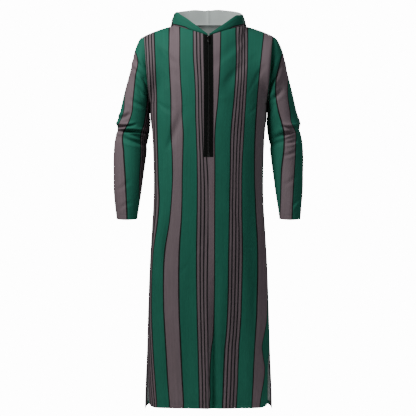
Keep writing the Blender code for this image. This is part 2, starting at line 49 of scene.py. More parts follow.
# The photograph: the pixel of the garment's centre line and shoulder plane, and a pixel's size
PHOTO_CENTRE = 208.5
PHOTO_LEVEL = 31.0
PIXEL = 0.0035
PHOTO_SIZE = 416
CAMERA_AWAY = 8.0
CAMERA_X = (PHOTO_SIZE / 2 - PHOTO_CENTRE) * PIXEL
CAMERA_Z = (PHOTO_LEVEL - PHOTO_SIZE / 2) * PIXEL
SENSOR = 36.0

# Cloth, and the thicker places where it is turned or sewn
CLOTH = 0.0009
ALLOWANCE = 0.0008
ALLOWANCE_WIDTH = 0.010
HOOD_ALLOWANCE = 0.006
HEM_WIDTH = 0.016
# Painted shade: by the back's slits the printed side shows on the inside over this width, wider than the
# turned allowance, to darken the slit's shadowed inside; the cloth is no thicker there
BACK_SLIT_SHADE_WIDTH = 0.030
CUFF_WIDTH = 0.020
CUFF_DROP = 0.003
CUFF_DROP_RING = 11.5
SEAM_LAP = 0.003
SEAM_DIP = 0.0009
SEAM_DIP_WIDTH = 0.0022
NECK_DIP = 0.0018
NECK_DIP_WIDTH = 0.0026
NECK_END = 0.008
NECK_LEVEL_REACH = 0.005
EDGE_ROUND = 0.0005
TURN_STEP = 0.0012
EDGE_THINNING = 1.6
SLIT_TACK = 0.006

# How bends are eased, and how strong the folds, creases and drift are
NECK_EASE = 0.013
NECK_EASE_FROM = 0.012
NECK_EASE_OVER = 0.040
ARMPIT_EASE_FROM = 0.80
ARMPIT_EASE_OVER = 0.12
DRIFT_SIZES = (0.16, 0.11, 0.075, 0.052)
DRIFT_HEIGHT = 0.00105
LOOSE_DRIFT = 0.8
FOLD_FADE = 0.8
CREASE_FADE = 0.7
CREASE_SHOULDER_AT = 1.7
CREASE_SHOULDER = 0.45

# A distance past every hem and seam, for the places that have none
FAR = 1.0

# The form of the solids
SQUARENESS = 2.4
NECK_X = 0.125
NECK_Z = 0.018
NECK_FRONT = 0.095
NECK_BACK = 0.062
VEE_Z = -0.023
NAPE_Z = 0.025
SHOULDER_X = 0.226
SHOULDER_Z = -0.018
SHOULDER_RISE = 0.003
ARMPIT_X = 0.206
ARMPIT_Z = -0.255
ARMHOLE_DEPTH = 0.070
ARMHOLE_NARROW = (6, 46)
CENTRE_STEEP = 0.90
SHOULDER_STEEP = 0.55
YOKE_ROUND = 2.2
SLIT_Z = -1.060
FRONT_HEM_Z = -1.311
BACK_HEM_Z = -1.304
CORNER_RISE = 0.018
CORNER_SHARE = 0.24
TIP_DROP = 0.019
TIP_SHARE = 0.34
TIP_SWEEP = 1.3

# Where creases and drift fade out: below the shoulders, towards a panel's side, at a sleeve's
# sides and cap, and at the hood's neck seam, centre seam and edge
CREASES_OVER = 0.06
DRIFT_SHARES = (0.6, 0.9)
FACE_LAP = 0.10
FACE_FADE = 0.35
CAP_FADE = 0.9
HOOD_FADES = (0.03, 0.012, 0.02)
HOOD_BACK_Y = 0.04
HOOD_BACK_FADE = 0.05

# Rows and columns of the shells. Edge rows lie closer together, so that turned edges are round.
NECK_COLUMNS = 26
SIDE_COLUMNS = 44
EDGE_COLUMNS = [0.003, 0.007, 0.012, 0.975, 0.985, 0.992, 0.996, 0.9985]
YOKE_ROWS = 61
TOP_TURNS = [0.010, 0.022, 0.036]
ROW_STEP = 0.0045
HEM_ROWS = [0.0172, 0.0160, 0.0148, 0.0110, 0.0070, 0.0040, 0.0020, 0.0010, 0.0005, 0.0002, 0.0]
CUFF_RING = 13
SLEEVE_STEPS = 136
SLEEVE_RINGS = 244
CAP_RINGS = [0.010, 0.025, 0.045]
CUFF_RINGS = [0.44, 0.42, 0.39, 0.06, 0.03, 0.015, 0.006]
HOOD_COLUMNS = 92
HOOD_ROWS = 76
HOOD_EDGE_ROWS = [0.012, 0.03, 0.06, 4.94, 4.97, 4.985, 4.993, 4.997]

# Studio
FLOOR_Z = -1.50
FLOOR_RADIUS = 0.8
SURROUND_LIGHT = 0.048
SURROUND_SEEN = 14.0
BODY_MIDDLE = (0.0, 0.0, -0.55)
CHEST = (0.0, 0.0, -0.20)
Lamp = namedtuple("Lamp", "name place target size power colour")
LAMPS = [
    Lamp("key", (-1.35, -1.25, 1.15), CHEST, 0.9, 40, (1.0, 0.99, 0.97)),
    Lamp("fill", (2.8, -1.7, 0.3), BODY_MIDDLE, 1.6, 17, (0.97, 0.98, 1.0)),
    Lamp("behind", (0.9, 3.2, 0.9), BODY_MIDDLE, 1.6, 32, (0.98, 0.99, 1.0)),
]

# Zip: sizes along the zip, across it and off the cloth. The slider's spot is on the cloth under it,
# and the bed is the stretch of a front that gives the slope beneath the tapes.
ZIP_START = 0.0012
ZIP_END_Z = -0.4435
CHAIN_HALF = 0.0030
CHAIN_END_Z = -0.428
TAPE_INNER = 0.0036
TAPE_EDGE = 0.0165
TAPE_LOW = 0.0002
TAPE_TOP = 0.0011
TOOTH_PITCH = 0.00098
TOOTH_HALF = 0.00040
TOOTH_REACH = 0.0011
TOOTH_TOP = 0.0024
ZIP_DOWN = np.array([0.0, -0.389, -0.921])
ZIP_OFF = np.array([0.0, -0.921, 0.389])
PULL_PIVOT = np.array([0.0, -0.10346, -0.02788])
PULL_LEVEL = 0.0056
SLIDER_SPOT = PULL_PIVOT - ZIP_OFF * PULL_LEVEL
SLIDER_HALF_LENGTH = 0.0056
SLIDER_BASE = 0.0013
SLIDER_TOP = 0.0045
BRIDGE_HALF = 0.0015
PULL_WALL = 0.0014
BRIDGE_WALL = 0.0006
STOP_HALF_LENGTH = 0.0022
STOP_GAP = 0.0003
STOP_TOP = 0.0029
STOP_BEVEL = 0.0006
BED_FROM = 0.006
BED_TO = 0.008
TAPE_ROWS = 190

# One half of each outline, as places down the zip and across it, and of the bridge's path, as
# places down the zip and off the cloth
SLIDER_HALF = [(-0.0056, 0.0042), (-0.0020, 0.0044), (0.0016, 0.0036), (0.0056, 0.0033)]
PULL_HALF = [(-0.0007, 0.0037), (0.0060, 0.0036), (0.0085, 0.0027), (0.0225, 0.0029), (0.0238, 0.0022)]
WINDOW_HALF = [(0.0007, 0.0021), (0.0060, 0.0021)]
GRIP_HALF = [(0.0105, 0.0014), (0.0212, 0.0016)]
BRIDGE_PATH_HALF = [
    (0.0010, 0.00735), (0.0022, 0.0071), (0.0030, 0.0064), (0.0034, 0.0054), (0.0035, 0.0042),
]

# Sewing
STITCH_PITCH = 0.0032
STITCH_LENGTH = 0.0024
STITCH_HALF = 0.00024
SLIT_STITCH = 0.010
SLIT_STITCH_START = 0.012
RIM_STITCH = 0.012
TAPE_STITCH = 0.0145

# The printed stripes along the cloth's width: wide mauve, green, a thin group, green
MAUVE_WIDTH = 0.037
GREEN_WIDTH = 0.050
GROUP_WIDTH = 0.044
THIN_COUNT = 4
LINE_WIDTH = 0.0036
THIN_LINE = 0.0042
REPEAT = MAUVE_WIDTH + 2 * GREEN_WIDTH + GROUP_WIDTH
GROUP_START = MAUVE_WIDTH + GREEN_WIDTH
GROUP_END = GROUP_START + GROUP_WIDTH
PRINT_WANDER = 0.0002

# The weave of the cloth and of the tape
THREAD_PITCH = 0.0007
THREAD_HEIGHT = 0.00008
CRUMPLE_HEIGHT = 0.0030
HERRINGBONE_WIDTH = 0.0021
RIB_PITCH = 0.0011
RIB_HEIGHT = 0.00012


class Table:
    """Rows of numbers under named columns, read on a smooth curve."""

    def __init__(self, columns, rows):
        self.columns = columns.split()
        self.rows = np.array(sorted(rows), float)

    def read(self, column, at):
        keys = self.rows[:, 0]
        values = self.rows[:, self.columns.index(column)]
        slopes = np.gradient(values, keys)
        at = np.clip(np.asarray(at, float), keys[0], keys[-1])
        low = np.clip(np.searchsorted(keys, at) - 1, 0, len(keys) - 2)
        step = keys[low + 1] - keys[low]
        t = (at - keys[low]) / step
        value = values[low] * (1 + 2 * t) * (1 - t) ** 2 + values[low + 1] * t * t * (3 - 2 * t)
        return value + step * (slopes[low] * t * (1 - t) ** 2 - slopes[low + 1] * t * t * (1 - t))


TORSO = Table("z half_width front_depth back_depth", [
    (-0.255, 0.206, 0.134, 0.122),
    (-0.312, 0.2030, 0.136, 0.121),
    (-0.353, 0.198, 0.136, 0.120),
    (-0.430, 0.194, 0.136, 0.116),
    (-0.600, 0.193, 0.134, 0.112),
    (-0.700, 0.199, 0.132, 0.114),
    (-0.800, 0.205, 0.132, 0.118),
    (-0.970, 0.2115, 0.134, 0.122),
    (-1.120, 0.216, 0.136, 0.125),
    (-1.250, 0.222, 0.138, 0.127),
    (-1.330, 0.224, 0.139, 0.128),
])
SLIT_EDGE = Table("z right_front left_front back", [
    (-1.060, 1.00, 1.00, 1.000),
    (-1.100, 0.94, 0.90, 0.992),
    (-1.140, 0.87, 0.81, 0.984),
    (-1.180, 0.82, 0.77, 0.976),
    (-1.250, 0.76, 0.73, 0.966),
    (-1.320, 0.73, 0.72, 0.960),
])
SLEEVE = Table("ring outer_x outer_z inner_x inner_z half_depth centre_y", [
    (0, 0.2260, -0.0180, 0.2060, -0.2550, 0.070, 0.000),
    (1, 0.2420, -0.0340, 0.2065, -0.2640, 0.076, 0.000),
    (2, 0.2600, -0.0760, 0.2062, -0.2760, 0.080, 0.001),
    (3, 0.2780, -0.1420, 0.2054, -0.2950, 0.081, 0.003),
    (4, 0.2945, -0.2120, 0.2047, -0.3180, 0.079, 0.005),
    (5, 0.3080, -0.2720, 0.2060, -0.3420, 0.076, 0.006),
    (6, 0.3190, -0.3180, 0.2094, -0.3660, 0.073, 0.006),
    (7, 0.3240, -0.3540, 0.2130, -0.3900, 0.071, 0.004),
    (8, 0.3300, -0.3950, 0.2165, -0.4220, 0.069, 0.000),
    (9, 0.3320, -0.4450, 0.2215, -0.4640, 0.067, -0.006),
    (10, 0.3310, -0.5020, 0.2280, -0.5150, 0.064, -0.014),
    (11, 0.3300, -0.5580, 0.2340, -0.5660, 0.061, -0.022),
    (12, 0.3260, -0.6100, 0.2410, -0.6140, 0.058, -0.030),
    (13, 0.3205, -0.6585, 0.2470, -0.6585, 0.055, -0.036),
])
HOOD = Table("around heading crest_out crest_up slope_out slope_up low_out low_up "
             "hang_out hang_up rim_out rim_up", [
    (0, 60, 0.000, 0.001, 0.000, 0.002, 0.000, 0.003, 0.000, 0.0035, 0.000, 0.004),
    (18, 60, 0.001, 0.005, 0.001, 0.010, 0.000, 0.014, -0.001, 0.017, -0.002, 0.019),
    (40, 70, 0.002, 0.011, 0.001, 0.020, 0.000, 0.028, -0.002, 0.033, -0.004, 0.036),
    (54, 80, 0.0025, 0.0155, 0.003, 0.026, 0.002, 0.036, 0.0005, 0.042, -0.001, 0.045),
    (62, 88, 0.003, 0.018, 0.004, 0.030, 0.004, 0.040, 0.002, 0.047, 0.000, 0.051),
    (70, 168, 0.003, 0.020, 0.004, 0.031, 0.006, 0.038, 0.010, 0.039, 0.014, 0.036),
    (80, 178, 0.002, 0.021, 0.004, 0.030, 0.012, 0.032, 0.024, 0.027, 0.034, 0.020),
    (98, 167, 0.004, 0.024, 0.014, 0.024, 0.044, 0.002, 0.066, -0.014, 0.074, -0.004),
    (120, 165, 0.016, 0.044, 0.038, 0.022, 0.074, -0.090, 0.098, -0.085, 0.100, -0.026),
    (150, 172, 0.024, 0.054, 0.051, -0.008, 0.085, -0.200, 0.112, -0.175, 0.114, -0.064),
    (180, 180, 0.026, 0.053, 0.053, -0.030, 0.087, -0.275, 0.116, -0.240, 0.120, -0.085),
])
HOOD_RUNS = ["crest", "slope", "low", "hang", "rim"]
HOOD_START = 1.4
LEFT_PEAK_DROP = 0.012
LEFT_PEAK_AT = 61
LEFT_PEAK_REACH = 6
LEFT_BAND_DROP = 0.003
LEFT_BAND_AT = 35
LEFT_BAND_REACH = 18

# Soft drape folds of the solids: a trough has a positive depth, a ridge a negative one
Fold = namedtuple("Fold", "top_x top_z bottom_x bottom_z width depth")
FRONT_FOLDS = [Fold(*row) for row in [
    (0.022, -0.800, 0.011, -1.900, 0.011, 0.019),
    (-0.006, -0.760, -0.006, -1.900, 0.010, -0.007),
    (-0.175, -0.050, -0.105, -0.190, 0.018, 0.005),
    (-0.085, -0.260, -0.160, -0.480, 0.020, 0.005),
    (0.120, -0.060, 0.050, -0.240, 0.022, 0.005),
    (0.100, -0.180, 0.150, -0.420, 0.026, 0.006),
    (-0.130, -0.560, -0.165, -1.000, 0.020, 0.007),
    (-0.060, -0.700, -0.085, -1.600, 0.026, 0.008),
    (0.095, -0.760, 0.110, -1.700, 0.024, 0.009),
    (-0.135, -0.950, -0.130, -1.700, 0.022, 0.006),
    (0.150, -0.560, 0.160, -1.080, 0.018, 0.005),
]]
BACK_FOLDS = [Fold(*row) for row in [
    (0.000, -0.420, 0.000, -1.800, 0.026, 0.010),
    (0.075, -0.560, 0.095, -1.700, 0.022, 0.009),
    (-0.080, -0.520, -0.090, -1.700, 0.024, 0.010),
    (0.140, -0.700, 0.155, -1.600, 0.020, 0.007),
    (-0.145, -0.660, -0.150, -1.600, 0.020, 0.007),
    (0.120, -0.120, 0.040, -0.380, 0.024, 0.005),
    (-0.125, -0.120, -0.050, -0.400, 0.024, 0.005),
]]
SleeveFold = namedtuple("SleeveFold", "ring reach deepest depth")
SLEEVE_FOLDS = [SleeveFold(*row) for row in [
    (6.00, 0.45, 0.9, -0.005),
    (6.70, 0.30, 1.1, 0.008),
    (7.35, 0.30, 1.9, 0.006),
    (3.00, 0.70, 1.4, 0.006),
]]

# Creases seen from the front or the back, between two places, bowed sideways by bow
Crease = namedtuple("Crease", "from_x from_z to_x to_z bow width depth")
FRONT_CREASES = [Crease(*row) for row in [
    (-0.188, -0.040, -0.110, -0.128, 0.004, 0.0110, 0.0048),
    (-0.205, -0.090, -0.140, -0.205, -0.006, 0.0120, 0.0030),
    (-0.200, -0.225, -0.120, -0.290, 0.008, 0.0110, 0.0028),
    (-0.090, -0.280, -0.152, -0.425, -0.006, 0.0120, 0.0036),
    (0.170, -0.040, 0.020, -0.185, 0.006, 0.0200, -0.0064),
    (0.200, -0.120, 0.130, -0.250, 0.008, 0.0120, 0.0036),
    (0.198, -0.230, 0.115, -0.310, -0.006, 0.0110, 0.0030),
    (-0.120, -0.600, -0.158, -0.880, 0.006, 0.0120, 0.0036),
    (-0.160, -0.860, -0.140, -1.300, -0.004, 0.0130, 0.0030),
    (-0.096, -0.850, -0.036, -0.740, 0.004, 0.0110, 0.0026),
    (0.060, -0.520, 0.120, -0.700, 0.004, 0.0140, 0.0024),
    (0.070, -0.900, 0.056, -1.290, 0.003, 0.0120, 0.0034),
    (0.170, -0.780, 0.150, -1.120, 0.004, 0.0120, 0.0028),
    (0.008, -1.020, 0.003, -1.330, 0.0015, 0.0045, 0.0040),
    (-0.004, -1.150, -0.012, -1.188, 0.001, 0.0032, 0.0022),
    (0.001, -1.180, -0.009, -1.222, -0.001, 0.0030, 0.0024),
    (-0.003, -1.214, -0.014, -1.252, 0.001, 0.0034, 0.0022),
    (0.002, -1.248, -0.008, -1.276, 0.001, 0.0028, 0.0024),
    (-0.006, -1.262, -0.022, -1.312, 0.002, 0.0040, 0.0026),
    (0.016, -1.268, 0.030, -1.316, -0.002, 0.0045, 0.0020),
]]
BACK_CREASES = [Crease(*row) for row in [
    (0.190, -0.150, 0.090, -0.240, 0.006, 0.0130, 0.0040),
    (-0.195, -0.130, -0.100, -0.245, -0.006, 0.0140, 0.0040),
    (0.195, -0.235, 0.110, -0.330, -0.006, 0.0120, 0.0030),
    (-0.190, -0.245, -0.120, -0.350, 0.006, 0.0120, 0.0032),
    (0.060, -0.420, 0.150, -0.520, 0.010, 0.0150, 0.0036),
    (-0.050, -0.440, -0.140, -0.560, -0.008, 0.0150, 0.0034),
    (0.030, -0.600, 0.040, -1.020, 0.004, 0.0130, 0.0034),
    (-0.045, -0.760, -0.030, -1.250, 0.004, 0.0130, 0.0034),
    (0.150, -0.900, 0.170, -1.280, 0.003, 0.0120, 0.0030),
    (-0.160, -0.800, -0.175, -1.270, 0.003, 0.0120, 0.0030),
]]
RIGHT_SLEEVE_CREASES = [Crease(*row) for row in [
    (-0.264, -0.090, -0.212, -0.160, 0.003, 0.0082, 0.0056),
    (-0.264, -0.130, -0.206, -0.194, -0.003, 0.0078, 0.0062),
    (-0.260, -0.190, -0.208, -0.236, 0.003, 0.0076, 0.0044),
    (-0.276, -0.240, -0.214, -0.270, 0.004, 0.0076, 0.0034),
    (-0.328, -0.312, -0.270, -0.290, 0.004, 0.0070, 0.0070),
    (-0.334, -0.331, -0.250, -0.329, 0.007, 0.0050, 0.0080),
    (-0.334, -0.353, -0.196, -0.359, -0.003, 0.0050, 0.0088),
    (-0.300, -0.374, -0.226, -0.398, 0.004, 0.0072, 0.0034),
    (-0.322, -0.560, -0.270, -0.520, 0.004, 0.0080, 0.0016),
    (-0.312, -0.625, -0.262, -0.600, -0.004, 0.0070, 0.0014),
]]
LEFT_SLEEVE_CREASES = [Crease(*row) for row in [
    (0.264, -0.092, 0.206, -0.194, -0.004, 0.0084, 0.0064),
    (0.256, -0.142, 0.210, -0.204, 0.003, 0.0080, 0.0050),
    (0.264, -0.204, 0.210, -0.248, -0.003, 0.0078, 0.0042),
    (0.250, -0.335, 0.328, -0.333, 0.008, 0.0056, 0.0090),
    (0.268, -0.350, 0.318, -0.347, -0.004, 0.0066, 0.0038),
    (0.256, -0.371, 0.314, -0.350, -0.003, 0.0054, 0.0074),
    (0.262, -0.396, 0.314, -0.382, 0.003, 0.0054, 0.0048),
    (0.258, -0.440, 0.310, -0.418, 0.003, 0.0064, 0.0028),
    (0.292, -0.632, 0.328, -0.590, -0.004, 0.0052, -0.0028),
    (0.262, -0.540, 0.300, -0.510, 0.004, 0.0080, 0.0016),
]]
SLEEVE_BACK_CREASES = [Crease(*row) for row in [
    (0.266, -0.104, 0.210, -0.182, 0.004, 0.0070, 0.0050),
    (0.262, -0.172, 0.210, -0.232, -0.004, 0.0070, 0.0044),
    (0.318, -0.322, 0.236, -0.344, 0.006, 0.0060, 0.0050),
    (0.320, -0.366, 0.240, -0.378, -0.005, 0.0060, 0.0040),
    (0.318, -0.470, 0.270, -0.440, 0.004, 0.0080, 0.0022),
]]
HOOD_CREASES = [Crease(*row) for row in [
    (0.030, 0.040, 0.044, -0.160, 0.006, 0.0090, 0.0050),
    (0.075, 0.020, 0.060, -0.140, -0.006, 0.0090, 0.0045),
    (0.004, -0.060, 0.022, -0.230, 0.004, 0.0070, 0.0035),
    (0.100, 0.000, 0.096, -0.090, 0.006, 0.0080, 0.0036),
]]

# What differs between faces and sides: folds, creases, the seed of the drift, and how far from a slit's
# edge the print shows inside: the turned allowance in front, and behind a wider strip of print that is
# painted shade for the slit's shadowed inside
PANEL_DRAPE = {
    "front": (FRONT_FOLDS, FRONT_CREASES, 5, ALLOWANCE_WIDTH),
    "back": (BACK_FOLDS, BACK_CREASES, 9, BACK_SLIT_SHADE_WIDTH),
}
SLEEVE_DRAPE = {1: (LEFT_SLEEVE_CREASES, 21), -1: (RIGHT_SLEEVE_CREASES, 33)}
HOOD_SEEDS = {1: 41, -1: 47}

# Where stripes meet, read off the photograph row by row, in its pixels. The names give the two
# stripes from the centre outwards on the fronts, and down the middle of each sleeve.
LEFT_FRONT_STRIPES = Table("row mauve_green green_group group_green green_mauve mauve_side", [
    (32, 220.6, 235.7, 247.6, 264.0, 276.5),
    (60, 220.0, 236.2, 247.5, 260.8, 272.2),
    (100, 217.8, 233.8, 245.7, 257.0, 267.3),
    (130, 215.0, 230.9, 244.0, 255.0, 265.3),
    (170, 214.8, 230.1, 241.9, 254.3, 262.4),
    (210, 214.6, 229.3, 241.8, 255.6, 263.6),
    (250, 214.5, 228.6, 242.3, 257.5, 266.4),
    (300, 214.2, 227.8, 241.3, 256.8, 267.6),
    (320, 213.9, 227.0, 240.6, 256.2, 266.8),
    (335, 213.3, 226.0, 239.6, 255.4, 264.2),
    (347, 211.8, 224.8, 238.7, 254.7, 262.0),
    (356, 210.9, 224.3, 238.4, 254.2, 263.0),
    (368, 210.2, 223.7, 237.9, 253.5, 264.8),
    (383, 209.8, 223.2, 237.5, 253.0, 263.5),
    (394, 210.3, 222.8, 236.9, 252.4, 261.4),
    (406, 209.3, 222.4, 236.2, 251.9, 259.8),
])
LEFT_FRONT_MEETS = {
    "mauve_green": MAUVE_WIDTH,
    "green_group": GROUP_START,
    "group_green": GROUP_END,
    "green_mauve": REPEAT,
    "mauve_side": REPEAT + MAUVE_WIDTH,
}
RIGHT_FRONT_STRIPES = Table("row group_green green_mauve mauve_green green_group mid_group", [
    (32, 193.1, 180.0, 169.0, 154.2, 148.4),
    (60, 193.6, 180.0, 169.0, 155.2, 149.6),
    (80, 195.0, 180.6, 170.0, 156.0, 150.6),
    (100, 195.6, 182.0, 170.9, 156.9, 151.6),
    (115, 195.7, 182.2, 170.9, 157.0, 151.8),
    (132, 196.2, 183.4, 170.9, 157.3, 152.6),
    (153, 197.0, 183.0, 172.2, 157.9, 153.6),
    (178, 197.3, 182.3, 172.6, 158.5, 154.0),
    (200, 197.3, 182.1, 171.4, 159.5, 154.0),
    (220, 197.0, 181.4, 169.6, 158.0, 153.0),
    (250, 196.6, 179.6, 164.8, 153.6, 149.0),
    (300, 197.0, 179.2, 163.4, 151.6, 147.0),
    (350, 198.2, 181.0, 165.9, 153.2, 149.2),
    (383, 199.0, 182.6, 167.8, 155.4, 150.8),
    (402, 199.4, 183.7, 169.3, 156.9, 152.4),
])
RIGHT_FRONT_MEETS = {
    "group_green": GROUP_END,
    "green_mauve": REPEAT,
    "mauve_green": REPEAT + MAUVE_WIDTH,
    "green_group": REPEAT + GROUP_START,
    "mid_group": REPEAT + GROUP_START + GROUP_WIDTH / 2,
}
FRONT_PRINT = {
    1: (LEFT_FRONT_STRIPES, LEFT_FRONT_MEETS),
    -1: (RIGHT_FRONT_STRIPES, RIGHT_FRONT_MEETS),
}
CENTRE_PLACES = Table("row left right", [
    (32, -0.005, 0.083),
    (60, -0.003, 0.084),
    (100, 0.004, 0.085),
    (130, 0.014, 0.088),
    (150, 0.0145, 0.090),
    (170, 0.015, 0.0945),
    (300, 0.0165, 0.0940),
    (335, 0.0200, 0.0958),
    (347, 0.0255, 0.0965),
    (368, 0.0310, 0.0978),
    (383, 0.0325, 0.0988),
    (394, 0.0310, 0.0994),
    (406, 0.0340, 0.1002),
])
RIGHT_SLEEVE_STRIPES = Table("row green_mauve mauve_green green_group", [
    (40, 122.0, 129.5, 152.0),
    (50, 127.5, 134.6, 152.0),
    (55, 129.8, 136.6, 151.0),
    (60, 130.6, 137.8, 150.0),
    (76, 127.4, 135.6, 149.0),
    (92, 125.0, 133.9, 148.0),
    (100, 124.4, 133.0, 147.2),
    (112, 123.4, 131.9, 146.0),
    (118, 121.4, 130.2, 145.0),
    (124, 118.4, 127.8, 144.0),
    (132, 114.0, 123.7, 141.4),
    (153, 112.8, 123.8, 140.9),
    (178, 113.2, 125.4, 139.4),
    (200, 114.4, 126.4, 139.2),
    (218, 116.6, 127.0, 138.8),
])
LEFT_SLEEVE_STRIPES = Table("row inner_green green_mauve mauve_green", [
    (50, 268.0, 283.6, 296.0),
    (54, 267.0, 281.8, 294.0),
    (60, 266.0, 280.4, 292.0),
    (66, 265.0, 278.8, 290.0),
    (76, 264.0, 276.4, 288.6),
    (97, 262.0, 275.9, 288.0),
    (112, 262.0, 278.7, 290.1),
    (122, 262.0, 281.6, 291.2),
    (132, 266.0, 283.8, 295.6),
    (145, 266.0, 284.2, 295.7),
    (170, 266.0, 281.5, 294.6),
    (195, 272.0, 280.6, 293.1),
    (216, 272.0, 279.8, 292.2),
])
PRINT_EASE = 0.045
PRINT_EASE_TURN = 0.12
BODY_GAP_ROW = 126.0
CAP_INNER = Table("row out", [
    (20, 36.0),
    (60, 42.0),
    (90, 46.0),
    (110, 53.0),
    (124, 58.0),
])
SLEEVE_MEETS = {
    "inner_green": -GREEN_WIDTH,
    "green_mauve": 0.0,
    "mauve_green": MAUVE_WIDTH,
    "green_group": GROUP_START,
}
HOOD_GREEN = 0.031
HOOD_MAUVE = 0.0055
HOOD_TURN = (84, 112)
BACK_CENTRE_PLACE = MAUVE_WIDTH / 2


def smooth(t):
    """Ease from 0 to 1."""
    t = np.clip(t, 0.0, 1.0)
    return t * t * (3 - 2 * t)


def unit(vectors):
    """Scale vectors to length 1."""
    length = np.linalg.norm(vectors, axis=-1, keepdims=True)
    return vectors / np.maximum(length, 1e-12)


def section(share):
    """Give the parts, 0 to 1, across and fore-and-aft of a squarish quarter section."""
    angle = np.asarray(share) * math.pi / 2
    power = 2 / SQUARENESS
    return np.sin(angle) ** power, np.abs(np.cos(angle)) ** power


def share_across(across):
    """Give the share of the quarter section that reaches a part across."""
    return np.arcsin(np.clip(across, 0, 1) ** (SQUARENESS / 2)) / (math.pi / 2)


def panel_top(face, across):
    """Give the distance off the shoulder plane and the height of a panel's top edge."""
    x = SHOULDER_X * across
    part = np.clip(x / NECK_X, 0, 1)
    round_part = np.sqrt(1 - part ** 2)
    neck_y = (NECK_FRONT if face == "front" else NECK_BACK) * round_part
    if face == "front":
        neck_z = VEE_Z + (NECK_Z - VEE_Z) * part
    else:
        neck_z = NECK_Z + (NAPE_Z - NECK_Z) * round_part
    slope = (SHOULDER_Z - NECK_Z) / (SHOULDER_X - NECK_X)
    out = np.clip((x - NECK_X) / (SHOULDER_X - NECK_X), 0, 1)
    shoulder_z = NECK_Z + slope * (x - NECK_X) + SHOULDER_RISE * np.sin(math.pi * out)
    return neck_y, np.where(x < NECK_X, neck_z, shoulder_z)


def yoke(face, share, drop):
    """Give x, distance off the shoulder plane and z above the armpits, drop running 0 to 1."""
    across, along = section(share)
    top_y, top_z = panel_top(face, across)
    depth = TORSO.read("front_depth" if face == "front" else "back_depth", ARMPIT_Z)
    steep = CENTRE_STEEP + (SHOULDER_STEEP - CENTRE_STEEP) * np.clip(SHOULDER_X * across / NECK_X, 0, 1)
    fall = (1 - (1 - drop) ** YOKE_ROUND) ** steep
    narrow = ARMHOLE_NARROW[0] + (ARMHOLE_NARROW[1] - ARMHOLE_NARROW[0]) * drop ** 6
    bulge = ARMHOLE_DEPTH * across ** narrow * 2 * np.sqrt(drop * (1 - drop))
    x = (SHOULDER_X + (ARMPIT_X - SHOULDER_X) * drop) * across
    return x, top_y + (depth * along - top_y) * fall + bulge, top_z + (ARMPIT_Z - top_z) * drop


def hem(face, share):
    """Give a panel's hem height: rounded corners in front, pointed ones behind."""
    if face == "front":
        part = np.clip((share - 1 + CORNER_SHARE) / CORNER_SHARE, 0, 1)
        return FRONT_HEM_Z + CORNER_RISE * (1 - np.sqrt(1 - 0.999 * part ** 2))
    part = np.clip((share - 1 + TIP_SHARE) / TIP_SHARE, 0, 1)
    return BACK_HEM_Z - TIP_DROP * part ** TIP_SWEEP


def skirt(face, side, share, z):
    """Give x, distance off the shoulder plane and z below the armpits."""
    edge = "back" if face == "back" else ("left_front" if side > 0 else "right_front")
    across, along = section(share * SLIT_EDGE.read(edge, z))
    down = np.clip((z - SLIT_Z) / (FRONT_HEM_Z - SLIT_Z), 0, 1)
    height = np.where(z < SLIT_Z, SLIT_Z + (hem(face, share) - SLIT_Z) * down, z)
    width = TORSO.read("half_width", z)
    depth = TORSO.read("front_depth" if face == "front" else "back_depth", z)
    return width * across, depth * along, height


def fold_depth(folds, x, z):
    """Add up how far the drape folds push the cloth inwards at a place."""
    total = np.zeros_like(x)
    for fold in folds:
        part = (fold.top_z - z) / (fold.top_z - fold.bottom_z)
        centre = fold.top_x + (fold.bottom_x - fold.top_x) * part
        window = np.sin(math.pi * np.clip(part, 0, 1)) ** FOLD_FADE
        total += fold.depth * window * np.exp(-((x - centre) / fold.width) ** 2)
    return total


def crease_depth(creases, x, z):
    """Add up the creases: each a trough between two low shoulders that dies away at its ends."""
    total = np.zeros_like(x)
    for crease in creases:
        run = np.array([crease.to_x - crease.from_x, crease.to_z - crease.from_z])
        length = np.hypot(*run)
        run = run / length
        along = ((x - crease.from_x) * run[0] + (z - crease.from_z) * run[1]) / length
        off = (x - crease.from_x) * run[1] - (z - crease.from_z) * run[0]
        off = (off - crease.bow * 4 * along * (1 - along)) / crease.width
        window = np.sin(math.pi * np.clip(along, 0, 1)) ** CREASE_FADE
        shoulders = np.exp(-(np.abs(off) - CREASE_SHOULDER_AT) ** 2)
        total += crease.depth * window * (np.exp(-off ** 2) - CREASE_SHOULDER * shoulders)
    return total


def drift(x, z, seed):
    """Give the cloth's slow unevenness, a few crossing waves of about 1 mm in all."""
    random = np.random.default_rng(seed)
    total = np.zeros_like(x)
    for size in DRIFT_SIZES:
        turn = random.uniform(-0.5, 0.5)
        start = random.uniform(0, 2 * math.pi, 2)
        across = x * math.cos(turn) + z * math.sin(turn) * 0.35
        wave = np.sin(2 * math.pi * across / size + start[0] + 1.5 * np.sin(z / 0.21 + start[1]))
        total += DRIFT_HEIGHT * size / DRIFT_SIZES[0] * wave
    return total


def arcs(grid, axis):
    """Give the running length along a grid's rows or columns."""
    steps = np.linalg.norm(np.diff(grid, axis=axis), axis=-1)
    start = np.zeros_like(np.take(steps, [0], axis=axis))
    return np.concatenate([start, np.cumsum(steps, axis=axis)], axis=axis)


def run_of(line):
    """Give the running length along one line of points."""
    return arcs(line[:, None], 0)[:, 0]


def between(at, run, line):
    """Find what a line of points or ways has at running lengths."""
    return np.stack([np.interp(at, run, line[:, axis]) for axis in range(3)], axis=-1)


def closed_up(rings):
    """Write each ring's first place again at its end."""
    return np.concatenate([rings, rings[:, :1]], axis=1)


def grid_normals(grid, around=False):
    """Give unit normals of a grid of points."""
    if around:
        across = np.roll(grid, -1, axis=1) - np.roll(grid, 1, axis=1)
    else:
        across = np.gradient(grid, axis=1)
    return unit(np.cross(across, np.gradient(grid, axis=0)))


